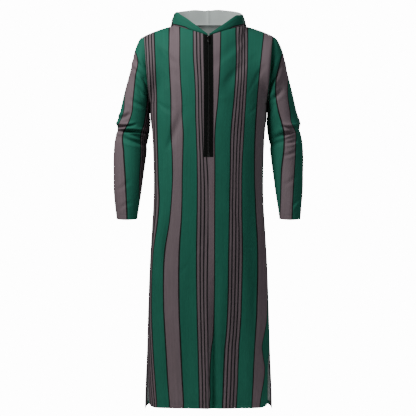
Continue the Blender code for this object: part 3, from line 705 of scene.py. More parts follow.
def seen(points):
    """Give where points show in the photograph, as pixels across and down."""
    scale = CAMERA_AWAY / (CAMERA_AWAY + points[..., 1])
    across = (points[..., 0] - CAMERA_X) * scale + CAMERA_X
    up = (points[..., 2] - CAMERA_Z) * scale + CAMERA_Z
    return PHOTO_CENTRE + across / PIXEL, PHOTO_LEVEL - up / PIXEL


def crossing(level, arc):
    """Find the running length where a rising level first passes zero."""
    place = int(np.argmax(level >= 0))
    if place == 0:
        return float(arc[0])
    part = -level[place - 1] / (level[place] - level[place - 1])
    return float(arc[place - 1] + (arc[place] - arc[place - 1]) * part)


def stripe_places(grid, table, meets, centre, side):
    """Give the place in the printed repeat of each point of a front, from the centre outwards.

    The stripes meet where the photograph shows them. Beyond the last meeting line that is listed
    they keep their printed widths.
    """
    across, down = seen(grid)
    arc = arcs(grid, 1)
    places = np.zeros(grid.shape[:2])
    for row in range(len(grid)):
        level = across[row] * side
        room = level[-1] - level[0]
        found = [(0.0, float(CENTRE_PLACES.read(centre, down[row, 0])))]
        for column, place in meets.items():
            line = table.read(column, down[row]) * side
            line = np.clip(line, level[0] + 0.02 * room, level[-1] - 0.004 * room)
            found.append((crossing(level - line, arc[row]), place))
        found.sort()
        lengths, marks = np.array(found).T
        after = np.maximum(arc[row] - lengths[-1], 0)
        places[row] = np.interp(arc[row], lengths, marks) + after
    return places


def shell(name, outer, inner, uv, materials, around=False, doubled=None):
    """Close an outer and an inner grid into one thin shell, with its cloth measured in uv.

    Where doubled, the printed side shows inside too: where the cloth is turned in, and on the back's
    slits as painted shade.
    """
    rows, columns = outer.shape[:2]
    size = rows * columns
    wide = uv.shape[1]
    last = columns if around else columns - 1
    row, column = [a.ravel() for a in np.mgrid[0:rows - 1, 0:last]]

    def quads(*corners):
        """Give faces by their corners, as points and as places in uv."""
        points = [layer * size + down * columns + along % columns for down, along, layer in corners]
        spots = [down * wide + along for down, along, _ in corners]
        return np.stack(points, 1), np.stack(spots, 1)

    def wall(first, second):
        """Give the faces that join the two layers along an edge."""
        return quads((*first, 0), (*second, 0), (*second, 1), (*first, 1))

    edge = np.arange(last)
    low = np.full(last, rows - 1)
    parts = [
        quads((row, column, 0), (row, column + 1, 0), (row + 1, column + 1, 0), (row + 1, column, 0)),
        quads((row, column, 1), (row + 1, column, 1), (row + 1, column + 1, 1), (row, column + 1, 1)),
        wall((0 * edge, edge + 1), (0 * edge, edge)),
        wall((low, edge), (low, edge + 1)),
    ]
    if not around:
        edge = np.arange(rows - 1)
        far = np.full(rows - 1, last)
        parts.append(wall((edge, 0 * edge), (edge + 1, 0 * edge)))
        parts.append(wall((edge + 1, far), (edge, far)))
    faces, spots = [np.concatenate(arrays) for arrays in zip(*parts)]
    points = np.concatenate([outer.reshape(-1, 3), inner.reshape(-1, 3)])
    corners = points[faces]
    halves = np.cross(corners[:, 1], corners[:, 2]) + np.cross(corners[:, 2], corners[:, 3])
    if (corners[:, 0] * halves).sum() < 0:
        faces = faces[:, ::-1]
        spots = spots[:, ::-1]
    piece = mesh_piece(name, points, faces.tolist(), materials)
    kind = np.zeros(len(faces), np.int32)
    count = len(row)
    kind[count:2 * count + last] = 1
    if doubled is not None:
        kind[count:2 * count][doubled[:rows - 1, :last].ravel()] = 0
    piece.data.polygons.foreach_set("material_index", kind)
    layer = piece.data.uv_layers.new(name="cloth")
    layer.data.foreach_set("uv", uv.reshape(-1, 2)[spots.ravel()].astype(np.float32).ravel())
    return piece


def mesh_piece(name, points, faces, materials, sharp=50):
    """Make a smooth-shaded mesh object in the scene."""
    mesh = bpy.data.meshes.new(name)
    mesh.from_pydata(np.asarray(points).tolist(), [], faces)
    mesh.shade_smooth()
    mesh.set_sharp_from_angle(angle=math.radians(sharp))
    for material in materials:
        mesh.materials.append(material)
    piece = bpy.data.objects.new(name, mesh)
    bpy.context.collection.objects.link(piece)
    return piece


def lit(red, green, blue):
    """Turn a screen colour, 0 to 255, into linear light."""
    values = []
    for value in (red, green, blue):
        value = value / 255
        values.append(value / 12.92 if value <= 0.04045 else ((value + 0.055) / 1.055) ** 2.4)
    return (*values, 1.0)


GREEN = lit(40, 124, 103)
MAUVE = lit(138, 122, 129)
THIN_MAUVE = lit(134, 119, 126)
LINE = lit(30, 32, 32)
REVERSE = lit(204, 214, 212)
BLACK_TAPE = lit(19, 22, 21)
BLACK_PLASTIC = lit(46, 49, 48)
LACQUER = lit(58, 60, 59)
GREEN_THREAD = lit(36, 92, 75)
BLACK_THREAD = lit(44, 47, 46)
FLOOR = lit(244, 244, 242)


class Maker:
    """Builds one node material, a node and its links at a time."""

    def __init__(self, name, roughness, metallic=0.0, sheen=0.0, coat=0.0, specular=0.5):
        self.material = bpy.data.materials.new(name)
        self.material.use_nodes = True
        self.tree = self.material.node_tree
        self.shader = self.tree.nodes["Principled BSDF"]
        settings = {"Roughness": roughness, "Metallic": metallic, "Sheen Weight": sheen,
                    "Sheen Roughness": 0.45, "Coat Weight": coat, "Specular IOR Level": specular}
        for socket, value in settings.items():
            self.shader.inputs[socket].default_value = value

    def node(self, kind, fed=None, **settings):
        """Add a node. What is fed to an input is a plain value or another node's output."""
        node = self.tree.nodes.new(kind)
        for key, value in settings.items():
            setattr(node, key, value)
        for place, value in (fed or {}).items():
            if isinstance(value, bpy.types.NodeSocket):
                self.tree.links.new(value, node.inputs[place])
            else:
                node.inputs[place].default_value = value
        return node

    def cloth(self):
        """Give the place in the cloth: across its print and down its length, in metres."""
        return self.node("ShaderNodeUVMap", uv_map="cloth").outputs["UV"]

    def math(self, operation, *values):
        return self.node("ShaderNodeMath", dict(enumerate(values)), operation=operation).outputs[0]

    def split(self, source):
        return self.node("ShaderNodeSeparateXYZ", {0: source}).outputs

    def noise(self, source, scale, detail=2.0):
        fed = {"Vector": source, "Scale": scale, "Detail": detail}
        return self.node("ShaderNodeTexNoise", fed).outputs["Fac"]

    def stretched_noise(self, source, stretch, scale=1.0, detail=2.0):
        mapping = self.node("ShaderNodeMapping", {"Vector": source, "Scale": stretch})
        return self.noise(mapping.outputs[0], scale, detail)

    def spread(self, value, low, high):
        """Map a noise value from its usual range to low and high."""
        fed = {"Value": value, "From Min": 0.3, "From Max": 0.7, "To Min": low, "To Max": high}
        return self.node("ShaderNodeMapRange", fed).outputs["Result"]

    def tinted(self, colour, strength):
        """Multiply a colour by a number."""
        colour = colour[:3] if isinstance(colour, tuple) else colour
        fed = {0: colour, "Scale": strength}
        return self.node("ShaderNodeVectorMath", fed, operation="SCALE").outputs[0]

    def bump(self, height, distance, strength, under=None):
        fed = {"Height": height, "Distance": distance, "Strength": strength}
        if under is not None:
            fed["Normal"] = under
        return self.node("ShaderNodeBump", fed).outputs["Normal"]

    def finished(self, colour, normal):
        """Feed the shader its colour and its surface, and give the material."""
        self.tree.links.new(colour, self.shader.inputs["Base Color"])
        self.tree.links.new(normal, self.shader.inputs["Normal"])
        return self.material


def weave_height(maker, cloth):
    """Give the height of a plain weave, its threads crossing over and under."""
    waves = [maker.math("SINE", maker.math("MULTIPLY", way, math.pi / THREAD_PITCH))
             for way in maker.split(cloth)[:2]]
    return maker.math("MULTIPLY", *waves)


def stripe_stops():
    """List the colour stops of the printed repeat: a place in metres and the colour from there."""
    half = LINE_WIDTH / 2
    stops = [(0.0, LINE), (half, MAUVE), (MAUVE_WIDTH - half, LINE), (MAUVE_WIDTH + half, GREEN)]
    stops += [(GROUP_START - half, LINE)]
    pitch = GROUP_WIDTH / THIN_COUNT
    for count in range(THIN_COUNT):
        middle = GROUP_START + pitch * (count + 0.5)
        thin = (pitch - THIN_LINE) / 2
        stops += [(middle - thin, THIN_MAUVE), (middle + thin, LINE)]
    stops += [(GROUP_END + half, GREEN), (REPEAT - half, LINE)]
    return stops


def striped_cloth():
    """Make the printed woven cloth, its stripes placed by the cloth's own measure."""
    maker = Maker("striped_cloth", roughness=0.72, sheen=0.06, specular=0.22)
    cloth = maker.cloth()
    wander = maker.spread(maker.stretched_noise(cloth, (9.0, 3.0, 1.0), 6.0), -PRINT_WANDER, PRINT_WANDER)
    across = maker.math("ADD", maker.split(cloth)[0], wander)
    part = maker.math("FRACT", maker.math("DIVIDE", across, REPEAT))
    ramp = maker.node("ShaderNodeValToRGB", {"Fac": part})
    ramp.color_ramp.interpolation = "CONSTANT"
    elements = ramp.color_ramp.elements
    for count, (at, colour) in enumerate(stripe_stops()):
        element = elements[count] if count < 2 else elements.new(at / REPEAT)
        element.position = at / REPEAT
        element.color = colour
    streaks = maker.spread(maker.stretched_noise(cloth, (260.0, 5.0, 1.0)), 0.93, 1.06)
    clouds = maker.spread(maker.stretched_noise(cloth, (14.0, 7.0, 1.0)), 0.95, 1.05)
    thread = weave_height(maker, cloth)
    fleck = maker.math("MULTIPLY_ADD", thread, 0.035, 1.0)
    strength = maker.math("MULTIPLY", maker.math("MULTIPLY", streaks, clouds), fleck)
    crumple = maker.stretched_noise(cloth, (30.0, 14.0, 1.0), 1.0, 3.0)
    soft = maker.bump(crumple, CRUMPLE_HEIGHT, 0.35)
    return maker.finished(maker.tinted(ramp.outputs["Color"], strength),
                          maker.bump(thread, THREAD_HEIGHT, 0.6, soft))


def reverse_cloth():
    """Make the unprinted side, a pale grey-mint with the print just showing as streaks."""
    maker = Maker("pale_reverse", roughness=0.80, sheen=0.10)
    cloth = maker.cloth()
    streaks = maker.spread(maker.stretched_noise(cloth, (220.0, 6.0, 1.0)), 0.96, 1.03)
    thread = weave_height(maker, cloth)
    strength = maker.math("MULTIPLY", streaks, maker.math("MULTIPLY_ADD", thread, 0.02, 1.0))
    return maker.finished(maker.tinted(REVERSE, strength), maker.bump(thread, THREAD_HEIGHT, 0.6))


def woven_tape():
    """Make the zip's black tape, a fine herringbone along its length."""
    maker = Maker("woven_tape", roughness=0.75, sheen=0.02, specular=0.12)
    across, along = maker.split(maker.cloth())[:2]
    side = maker.math("PINGPONG", across, HERRINGBONE_WIDTH)
    slant = maker.math("MULTIPLY_ADD", side, 2.2, along)
    rib = maker.math("SINE", maker.math("MULTIPLY", slant, 2 * math.pi / RIB_PITCH))
    shade = maker.math("MULTIPLY_ADD", rib, 0.10, 1.0)
    return maker.finished(maker.tinted(BLACK_TAPE, shade), maker.bump(rib, RIB_HEIGHT, 0.8))


def plain(name, colour, roughness, metallic=0.0, coat=0.0, grain=0.00005, size=900.0, wear=0.06):
    """Make a material of one colour with slight wear in its colour and grain in its surface."""
    maker = Maker(name, roughness, metallic, coat=coat)
    place = maker.node("ShaderNodeTexCoord").outputs["Object"]
    shade = maker.spread(maker.noise(place, 60.0, 4.0), 1 - wear, 1 + wear)
    return maker.finished(maker.tinted(colour, shade),
                          maker.bump(maker.noise(place, size, 3.0), grain, 0.5))


def seam_dip(distance):
    """Give how far the cloth dips at a sewn edge at a distance from it."""
    return SEAM_DIP * np.exp(-(distance / SEAM_DIP_WIDTH) ** 2)


def rounding(distance):
    """Give how far a cut or turned edge rounds off at a distance from it."""
    part = 1 - np.clip(distance / EDGE_ROUND, 0, 1)
    return EDGE_ROUND * 0.7 * (1 - np.sqrt(np.maximum(1 - part ** 2, 0)))


def to_neck(inwards, grid, distance):
    """Turn the inwards ways beside the neck seam level to the neck, so that its two sides meet."""
    level = grid * (-1, -1, 0)
    near = np.exp(-(distance / NECK_LEVEL_REACH) ** 2)[..., None]
    return unit(unit(inwards) * (1 - near) + unit(level) * near)


def turned(distance, width):
    """Give 1 where the cloth is doubled by a hem or allowance, 0 past its width."""
    return smooth((width - distance) / TURN_STEP)


def neck_dip(distance):
    """Give how far the cloth dips at the neck seam at a distance from it."""
    return NECK_DIP * np.exp(-(distance / NECK_DIP_WIDTH) ** 2)


def panel_shares():
    """List a panel's columns: closer together at the centre front and at the side edge."""
    angles = np.radians(np.linspace(0, 90, NECK_COLUMNS + 1))
    neck = share_across(NECK_X * np.sin(angles) / SHOULDER_X)
    side = np.linspace(neck[-1], 1.0, SIDE_COLUMNS + 1)[1:]
    return np.unique(np.round(np.concatenate([neck, side, EDGE_COLUMNS]), 6))


def panel_rows():
    """List the turns of the rows above the armpits and the heights of those below."""
    turns = np.linspace(0, math.pi, YOKE_ROWS + 1)[:-1]
    turns = np.insert(turns, 1, TOP_TURNS)
    lows = np.arange(ARMPIT_Z, FRONT_HEM_Z + CORNER_RISE, -ROW_STEP)
    return turns, np.concatenate([lows, FRONT_HEM_Z + np.array(HEM_ROWS)])


def eased_beside_neck(x, y, z):
    """Ease the bend that runs down a panel below the corner of the neck."""
    across = np.abs(x)
    spread = np.abs(np.gradient(across, axis=1))
    apart = across[:, :, None] - across[:, None, :]
    weight = np.exp(-(apart / NECK_EASE) ** 2) * spread[:, None, :]
    total = weight.sum(axis=2)
    slant = (weight * across[:, None, :]).sum(axis=2) / total
    even = (weight * y[:, None, :]).sum(axis=2) / total
    even = even + (across - slant) * np.gradient(y, axis=1) / np.gradient(across, axis=1)
    low = smooth((NECK_Z - NECK_EASE_FROM - z) / NECK_EASE_OVER)
    return y + (even - y) * low * np.exp(-((across - NECK_X) / (2 * NECK_EASE)) ** 4)


def eased_at_armpit(y, shares, armpit):
    """Ease the bend of a panel's outermost columns at the row of the armpits."""
    outermost = smooth((shares - ARMPIT_EASE_FROM) / ARMPIT_EASE_OVER)
    for _ in range(5):
        for row in range(armpit - 5, armpit + 4):
            level = (y[row - 1] + 2 * y[row] + y[row + 1]) / 4
            y[row] += (level - y[row]) * outermost
    return y


def layers(grid, inwards, push, doubled, rounded_off, seam=None):
    """Push a grid inwards and give the cloth its thickness: its outer and inner points.

    A column that is a seam in the middle plane stays in it.
    """
    outer = grid + inwards * push[..., None]
    if seam is not None:
        outer[:, seam, 0] = 0
        inwards[:, seam, 0] = 0
        inwards = unit(inwards)
    thick = CLOTH + ALLOWANCE * doubled - EDGE_THINNING * rounded_off
    return outer, outer + inwards * thick[..., None]


def panel(face, side):
    """Work out a panel: outer and inner points, outwards ways and where its print shows inside, turned in
    at the hem and slits, and on the back's slits a wider strip of print as painted shade.
    """
    sign = -1 if face == "front" else 1
    shares = panel_shares()
    turns, lows = panel_rows()
    rows = [yoke(face, shares, (1 - math.cos(turn)) / 2) for turn in turns]
    rows += [skirt(face, side, shares, np.full_like(shares, z)) for z in lows]
    x, y, z = [np.stack(values) for values in zip(*rows)]
    x = side * x
    y = eased_at_armpit(eased_beside_neck(x, sign * y, z), shares, len(turns))
    folds, creases, seed, slit_print_inside = PANEL_DRAPE[face]
    free = (1 - shares ** 8) * smooth(-z / CREASES_OVER)
    y = y - sign * fold_depth(folds, x, z) * free
    grid = np.stack([x, y, z], axis=-1)
    inwards = grid_normals(grid)
    inwards *= -sign * np.sign(inwards[len(turns), len(shares) // 3, 1])
    across = arcs(grid, 1)
    top_edge = arcs(grid, 0)
    to_side = across[:, -1:] - across
    side_edge = to_side + np.where(z < SLIT_Z, FAR, 0.0)
    slit_edge = to_side + np.where(z < SLIT_Z - SLIT_TACK, 0.0, FAR)
    hem_edge = np.concatenate([np.full(len(turns), FAR), lows - FRONT_HEM_Z])[:, None] + 0 * z
    seam_edge = np.minimum(across + (0.0 if face == "front" else FAR), side_edge)
    at_neck = smooth((NECK_X - np.abs(x)) / NECK_END + 0.5)
    rounded_off = rounding(hem_edge) + rounding(slit_edge)
    slow = drift(x, z, seed) * smooth((DRIFT_SHARES[1] - shares) / (DRIFT_SHARES[1] - DRIFT_SHARES[0]))
    push = (crease_depth(creases, x, z) + slow) * free + seam_dip(seam_edge) + rounded_off
    push = np.maximum(push, seam_dip(top_edge) * (1 - at_neck) + neck_dip(top_edge) * at_neck)
    direction = to_neck(inwards, grid, top_edge + np.where(at_neck > 0.5, 0.0, FAR))
    doubled = np.maximum(turned(np.minimum(seam_edge, top_edge), ALLOWANCE_WIDTH),
                         turned(hem_edge, HEM_WIDTH))
    doubled = np.maximum(doubled, turned(slit_edge, ALLOWANCE_WIDTH))
    outer, inner = layers(grid, direction, push, doubled, rounded_off, 0)
    # The print shows inside along the hem and the slit edges; on the back the wider slit strip is painted
    # shade
    return outer, inner, -inwards, (hem_edge < HEM_WIDTH) | (slit_edge < slit_print_inside)


def cloth_uv(places, grid):
    """Pair the place across the print with the length down the cloth."""
    return np.stack([places, arcs(grid, 0)], axis=-1)


def cloth_piece(name, outer, inner, uv, materials, slot="striped_cloth", **ways):
    """Make a sheet's shell, which stands for the solid of the same name."""
    piece = shell("cloth_" + name, outer, inner, uv, materials, **ways)
    dress(piece, slot, name)
    return piece


def make_fronts(cloths):
    """Make the two fronts."""
    made = {}
    for side, name in SIDES:
        outer, inner, outwards, doubled = panel("front", side)
        places = stripe_places(outer, *FRONT_PRINT[side], name, side)
        piece = cloth_piece("front_" + name, outer, inner, cloth_uv(places, outer), cloths,
                            doubled=doubled)
        made[side] = (piece, outer, outwards)
    return made


def make_back(cloths):
    """Make the back in one piece from its two halves."""
    left = panel("back", 1)
    right = panel("back", -1)
    outer, inner, outwards, doubled = [np.concatenate([far[:, :0:-1], near], axis=1)
                                       for far, near in zip(right, left)]
    half = right[0].shape[1] - 1
    across = arcs(outer, 1)
    places = BACK_CENTRE_PLACE + across - across[:, half:half + 1]
    piece = cloth_piece("back", outer, inner, cloth_uv(places, outer), cloths, doubled=doubled)
    return piece, outer, outwards


def dress(piece, slot, *nodes, body=GARMENT):
    """Put a piece on its body and hide the solids it stands for. The slot is not used."""
    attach(piece, body)
    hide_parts(*nodes)


def sleeve(side):
    """Work out a sleeve's outer and inner points, in rings that start and end at the underarm."""
    rings = np.insert(np.linspace(0, CUFF_RING, SLEEVE_RINGS), 1, CAP_RINGS)
    rings = np.unique(np.concatenate([rings, CUFF_RING - np.array(CUFF_RINGS)]))
    turns = math.pi + np.arange(SLEEVE_STEPS) * 2 * math.pi / SLEEVE_STEPS
    read = {name: SLEEVE.read(name, rings)[:, None] for name in SLEEVE.columns[1:]}
    cos = np.cos(turns)[None, :]
    sin = np.sin(turns)[None, :]
    x, z = [(read["outer_" + axis] + read["inner_" + axis]) / 2
            + (read["outer_" + axis] - read["inner_" + axis]) / 2 * cos for axis in "xz"]
    y = read["centre_y"] - read["half_depth"] * sin
    rings = rings[:, None]
    lowered = smooth((rings - CUFF_DROP_RING) / (CUFF_RING - CUFF_DROP_RING))
    z = z - CUFF_DROP * lowered * np.maximum(sin, 0) ** 2
    grid = np.stack([side * x, y, z], axis=-1)
    outwards = grid_normals(grid, around=True)
    outwards *= np.sign((outwards[60, SLEEVE_STEPS // 2] * (side, 0, 0)).sum())
    push = np.zeros(grid.shape[:2])
    for fold in SLEEVE_FOLDS:
        down = np.exp(-((rings - fold.ring) / fold.reach) ** 2)
        push += fold.depth * down * (0.5 + 0.5 * np.cos(turns[None, :] - fold.deepest)) ** 2
    creases, seed = SLEEVE_DRAPE[side]
    push += crease_depth(creases, side * x, z) * smooth((sin + FACE_LAP) / FACE_FADE)
    push += crease_depth(SLEEVE_BACK_CREASES, x, z) * smooth((-sin + FACE_LAP) / FACE_FADE)
    push += drift(x + y, z, seed) * LOOSE_DRIFT
    push *= smooth(rings / CAP_FADE)
    top_edge = arcs(grid, 0)
    cuff_edge = top_edge[-1:] - top_edge
    push += seam_dip(top_edge) + rounding(cuff_edge)
    doubled = np.maximum(turned(top_edge, ALLOWANCE_WIDTH), turned(cuff_edge, CUFF_WIDTH))
    outer, inner = layers(grid, -outwards, push, doubled, rounding(cuff_edge))
    inner[0, :, 0] -= side * SEAM_LAP
    return outer, inner, outwards, cuff_edge < CUFF_WIDTH


def sleeve_places(outer, side):
    """Give the place in the print of a sleeve's points, its seam column written twice."""
    closed = closed_up(outer)
    half = outer.shape[1] // 2
    across, down = seen(closed)
    below = down[:, 0] > BODY_GAP_ROW
    inner_rows = np.concatenate([CAP_INNER.rows[:, 0], down[below, 0]])
    inner_edge = np.concatenate([PHOTO_CENTRE + side * CAP_INNER.rows[:, 1], across[below, 0]])
    near = np.interp(down, inner_rows, inner_edge)
    far = np.interp(down, down[:, half], across[:, half])
    middle = (near + far) / 2
    reach = np.abs(far - near) / 2

    def round_part(pixel):
        """Give how far round the sleeve's front a pixel is, from -1 to 1 at its two edges."""
        level = (pixel - middle) / reach
        beyond = np.sign(level) * np.maximum(np.abs(level) - 1, 0)
        return np.arcsin(np.clip(level, -1, 1)) / (math.pi / 2) + beyond

    table = LEFT_SLEEVE_STRIPES if side > 0 else RIGHT_SLEEVE_STRIPES
    at = round_part(across)
    columns = table.columns[1:]
    lines = [round_part(table.read(column, down)) for column in columns]
    marks = [SLEEVE_MEETS[column] for column in columns]
    quarter = reach * PIXEL * 1.2 * math.pi / 2
    places = marks[0] + np.minimum(at - lines[0], 0) * quarter
    for low, high, start, end in zip(lines, lines[1:], marks, marks[1:]):
        places += (end - start) * np.clip((at - low) / (high - low), 0, 1)
    places += np.maximum(at - lines[-1], 0) * quarter
    along = arcs(closed, 0)[:, half]
    weight = np.exp(-((along[:, None] - along[None, :]) / PRINT_EASE) ** 2) * np.gradient(along)
    eased = weight @ places / weight.sum(axis=1, keepdims=True)
    beyond = smooth(1 - (np.arange(closed.shape[1]) - half) / (PRINT_EASE_TURN * outer.shape[1]))
    places += (eased - places) * beyond
    arc = arcs(closed, 1)
    behind = places[:, half:half + 1] + side * (arc[:, half:half + 1] - arc[:, :half])
    return np.concatenate([behind, places[:, half:]], axis=1), closed


def make_sleeves(cloths):
    """Make the two sleeves."""
    made = {}
    for side, name in SIDES:
        outer, inner, outwards, doubled = sleeve(side)
        places, closed = sleeve_places(outer, side)
        piece = cloth_piece("sleeve_" + name, outer, inner, cloth_uv(places, closed), cloths,
                            around=True, doubled=doubled)
        made[side] = (piece, outer, outwards)
    return made


def hood(side):
    """Work out half a hood: rows from the neck seam to the face edge, columns from the V back."""
    angles = np.concatenate([np.linspace(HOOD_START, 179, HOOD_COLUMNS), [179.5, 179.8, 180.0]])
    part = np.sin(np.radians(angles))
    round_part = np.abs(np.cos(np.radians(angles)))
    front = angles < 90
    seam_x = NECK_X * part
    seam_y = np.where(front, -NECK_FRONT, NECK_BACK) * round_part
    seam_z = np.where(front, VEE_Z + (NECK_Z - VEE_Z) * part, NECK_Z + (NAPE_Z - NECK_Z) * round_part)
    heading = np.radians(HOOD.read("heading", angles))
    peak = LEFT_PEAK_DROP * np.exp(-((angles - LEFT_PEAK_AT) / LEFT_PEAK_REACH) ** 2)
    peak += LEFT_BAND_DROP * np.exp(-((angles - LEFT_BAND_AT) / LEFT_BAND_REACH) ** 2)
    keys = np.arange(len(HOOD_RUNS) + 1)
    drops = keys[:, None] / len(HOOD_RUNS) * (peak if side > 0 else 0 * peak)
    outs = [0 * angles] + [HOOD.read(run + "_out", angles) for run in HOOD_RUNS]
    ups = [0 * angles] + [HOOD.read(run + "_up", angles) for run in HOOD_RUNS]
    places = np.unique(np.concatenate([np.linspace(0, keys[-1], HOOD_ROWS), HOOD_EDGE_ROWS]))
    out, up = [np.stack([Table("key value", list(zip(keys, column))).read("value", places)
                         for column in rows.T], axis=1)
               for rows in (np.array(outs), np.array(ups) - drops)]
    x = np.maximum(seam_x + out * np.sin(heading), 0)
    x[:, -1] = 0
    y = seam_y - out * np.cos(heading)
    z = seam_z + up
    grid = np.stack([side * x, y, z], axis=-1)
    inwards = grid_normals(grid)
    inwards *= -np.sign((inwards[8, HOOD_COLUMNS // 2] * (side, 0, 0)).sum())
    seam = arcs(grid, 0)
    rim = seam[-1:] - seam
    across = arcs(grid, 1)
    centre = across[:, -1:] - across
    loose = smooth(seam / HOOD_FADES[0]) * smooth(centre / HOOD_FADES[1]) * smooth(rim / HOOD_FADES[2])
    push = crease_depth(HOOD_CREASES, x, z) * smooth((y - HOOD_BACK_Y) / HOOD_BACK_FADE) * loose
    push += drift(x, z, HOOD_SEEDS[side]) * loose * LOOSE_DRIFT
    push += seam_dip(centre) + neck_dip(seam) + rounding(rim)
    doubled = np.maximum(turned(np.minimum(seam, centre), HOOD_ALLOWANCE), turned(rim, HEM_WIDTH))
    outer, inner = layers(grid, to_neck(inwards, grid, seam), push, doubled, rounding(rim), -1)
    strip = seam[-1] - HOOD_GREEN
    kept = smooth((angles - HOOD_TURN[0]) / (HOOD_TURN[1] - HOOD_TURN[0]))
    narrow = np.minimum(strip, HOOD_MAUVE)
    strip = narrow + (strip - narrow) * kept
    return outer, inner, -inwards, np.stack([REPEAT + strip - seam, across], axis=-1)


def make_hood(cloths):
    """Make the two halves of the hood."""
    made = {}
    for side, name in SIDES:
        outer, inner, outwards, uv = hood(side)
        made[side] = (cloth_piece("hood_" + name, outer, inner, uv, cloths), outer, outwards)
    return made


def join_up(name, parts, materials, sharp=50):
    """Make one object from lists of points and faces."""
    points = []
    faces = []
    for part_points, part_faces in parts:
        start = len(points)
        points.extend(np.asarray(part_points).reshape(-1, 3).tolist())
        faces.extend([[corner + start for corner in face] for face in part_faces])
    return mesh_piece(name, points, faces, materials, sharp)


def loft(rings, closed=False):
    """Join rings of equal counts into a closed form: capped at both ends, or closed on itself."""
    rings = np.asarray(rings)
    count, size = rings.shape[:2]
    faces = []
    for ring in range(count if closed else count - 1):
        upper = (ring + 1) % count
        for i in range(size):
            j = (i + 1) % size
            faces.append([ring * size + i, ring * size + j, upper * size + j, upper * size + i])
    if not closed:
        faces.append(list(range(size))[::-1])
        faces.append([(count - 1) * size + i for i in range(size)])
    points = rings.reshape(-1, 3)
    corners = points[[face[:3] for face in faces]]
    volume = (corners[:, 0] * np.cross(corners[:, 1], corners[:, 2])).sum()
    if volume < 0:
        faces = [face[::-1] for face in faces]
    return points, faces


def mirrored(half):
    """Give a whole outline from the half on one side of the zip."""
    return half + [(down, -out) for down, out in reversed(half)]


def rounded(corners, radius, steps=5):
    """Round the corners of an outline."""
    corners = np.array(corners)
    before = np.roll(corners, 1, axis=0) - corners
    after = np.roll(corners, -1, axis=0) - corners
    outline = []
    for corner, back, ahead in zip(corners, before, after):
        start = corner + back * min(radius / np.hypot(*back), 0.45)
        end = corner + ahead * min(radius / np.hypot(*ahead), 0.45)
        for t in np.linspace(0, 1, steps):
            outline.append(start * (1 - t) ** 2 + corner * 2 * t * (1 - t) + end * t * t)
    return np.array(outline)


def inset(outline, amount):
    """Move an outline in by an amount."""
    along = unit(np.roll(outline, -1, axis=0) - np.roll(outline, 1, axis=0))
    inwards = np.stack([-along[:, 1], along[:, 0]], axis=1)
    middle = outline.mean(axis=0)
    inwards *= np.sign(((middle - outline) * inwards).sum())
    return outline + inwards * amount


def on_zip(outline, level):
    """Place an outline over the zip at a level off the cloth."""
    return SLIDER_SPOT + outline[:, :1] * ZIP_DOWN + outline[:, 1:] * ACROSS + level * ZIP_OFF


def zip_bed(outer, distances):
    """Give a front's points at distances from its centre line, its sewn dip there smoothed over."""
    near, far = BED_FROM, BED_TO
    rows = []
    for points, run in zip(outer, arcs(outer, 1)):
        start = between(near, run, points)
        slope = (between(far, run, points) - start) / (far - near)
        rows.append([between(place, run, points) if place > near else start + slope * (place - near)
                     for place in distances])
    grid = np.array(rows)
    run = arcs(grid, 0)[:, 0]
    end = np.interp(-ZIP_END_Z, -grid[:, 0, 2], run)
    at = np.linspace(ZIP_START, end, TAPE_ROWS)
    return np.stack([between(at, run, column) for column in grid.transpose(1, 0, 2)], axis=1)


def facing(grid, way):
    """Give a grid's normals on the side that faces a way."""
    normals = grid_normals(grid)
    middle = normals[len(grid) // 2, grid.shape[1] // 2]
    return normals * np.sign((middle * way).sum())


def make_tapes(fronts, tape):
    """Lay the two zip tapes on the fronts."""
    made = {}
    edge = np.array([0.0, 0.0002, 0.0005, 0.0010])
    distances = np.concatenate([TAPE_INNER + edge, np.linspace(BED_FROM, TAPE_STITCH, 6),
                                TAPE_EDGE - edge[::-1]])
    for side, name in SIDES:
        grid = zip_bed(fronts[side][1], distances)
        normals = facing(grid, (0, -1, 0))
        across = arcs(grid, 1)
        down = arcs(grid, 0)
        rim = np.minimum(np.minimum(across, across[:, -1:] - across), down[-1:] - down)
        outer = grid + normals * (TAPE_TOP - rounding(rim))[..., None]
        inner = grid + normals * TAPE_LOW
        piece = cloth_piece("zip_tape_" + name, outer, inner, np.stack([across, down], axis=-1),
                            [tape, tape], "zip_tape")
        made[side] = (piece, outer, normals)
    return made


def zip_line(fronts):
    """Give the line of the zip on the cloth, with the ways down it and off it."""
    line = sum(zip_bed(fronts[side][1], [0.0])[:, 0] for side, _ in SIDES) / 2
    line[:, 0] = 0
    down = unit(np.gradient(line, axis=0))
    off = np.stack([0 * down[:, 0], down[:, 2], -down[:, 1]], axis=-1)
    return line, down, off * -np.sign(off[5, 1])


def brick(point, down, off, left, right, half, top, bevel=0.00022):
    """Give a small block over the zip with its top edges cut back."""
    rings = []
    for level, cut in ((TAPE_LOW, 0.0), (top - bevel, 0.0), (top, bevel)):
        corners = [(-half + cut, left + cut), (-half + cut, right - cut),
                   (half - cut, right - cut), (half - cut, left + cut)]
        rings.append([point + down * along + ACROSS * out + off * level for along, out in corners])
    return loft(rings)


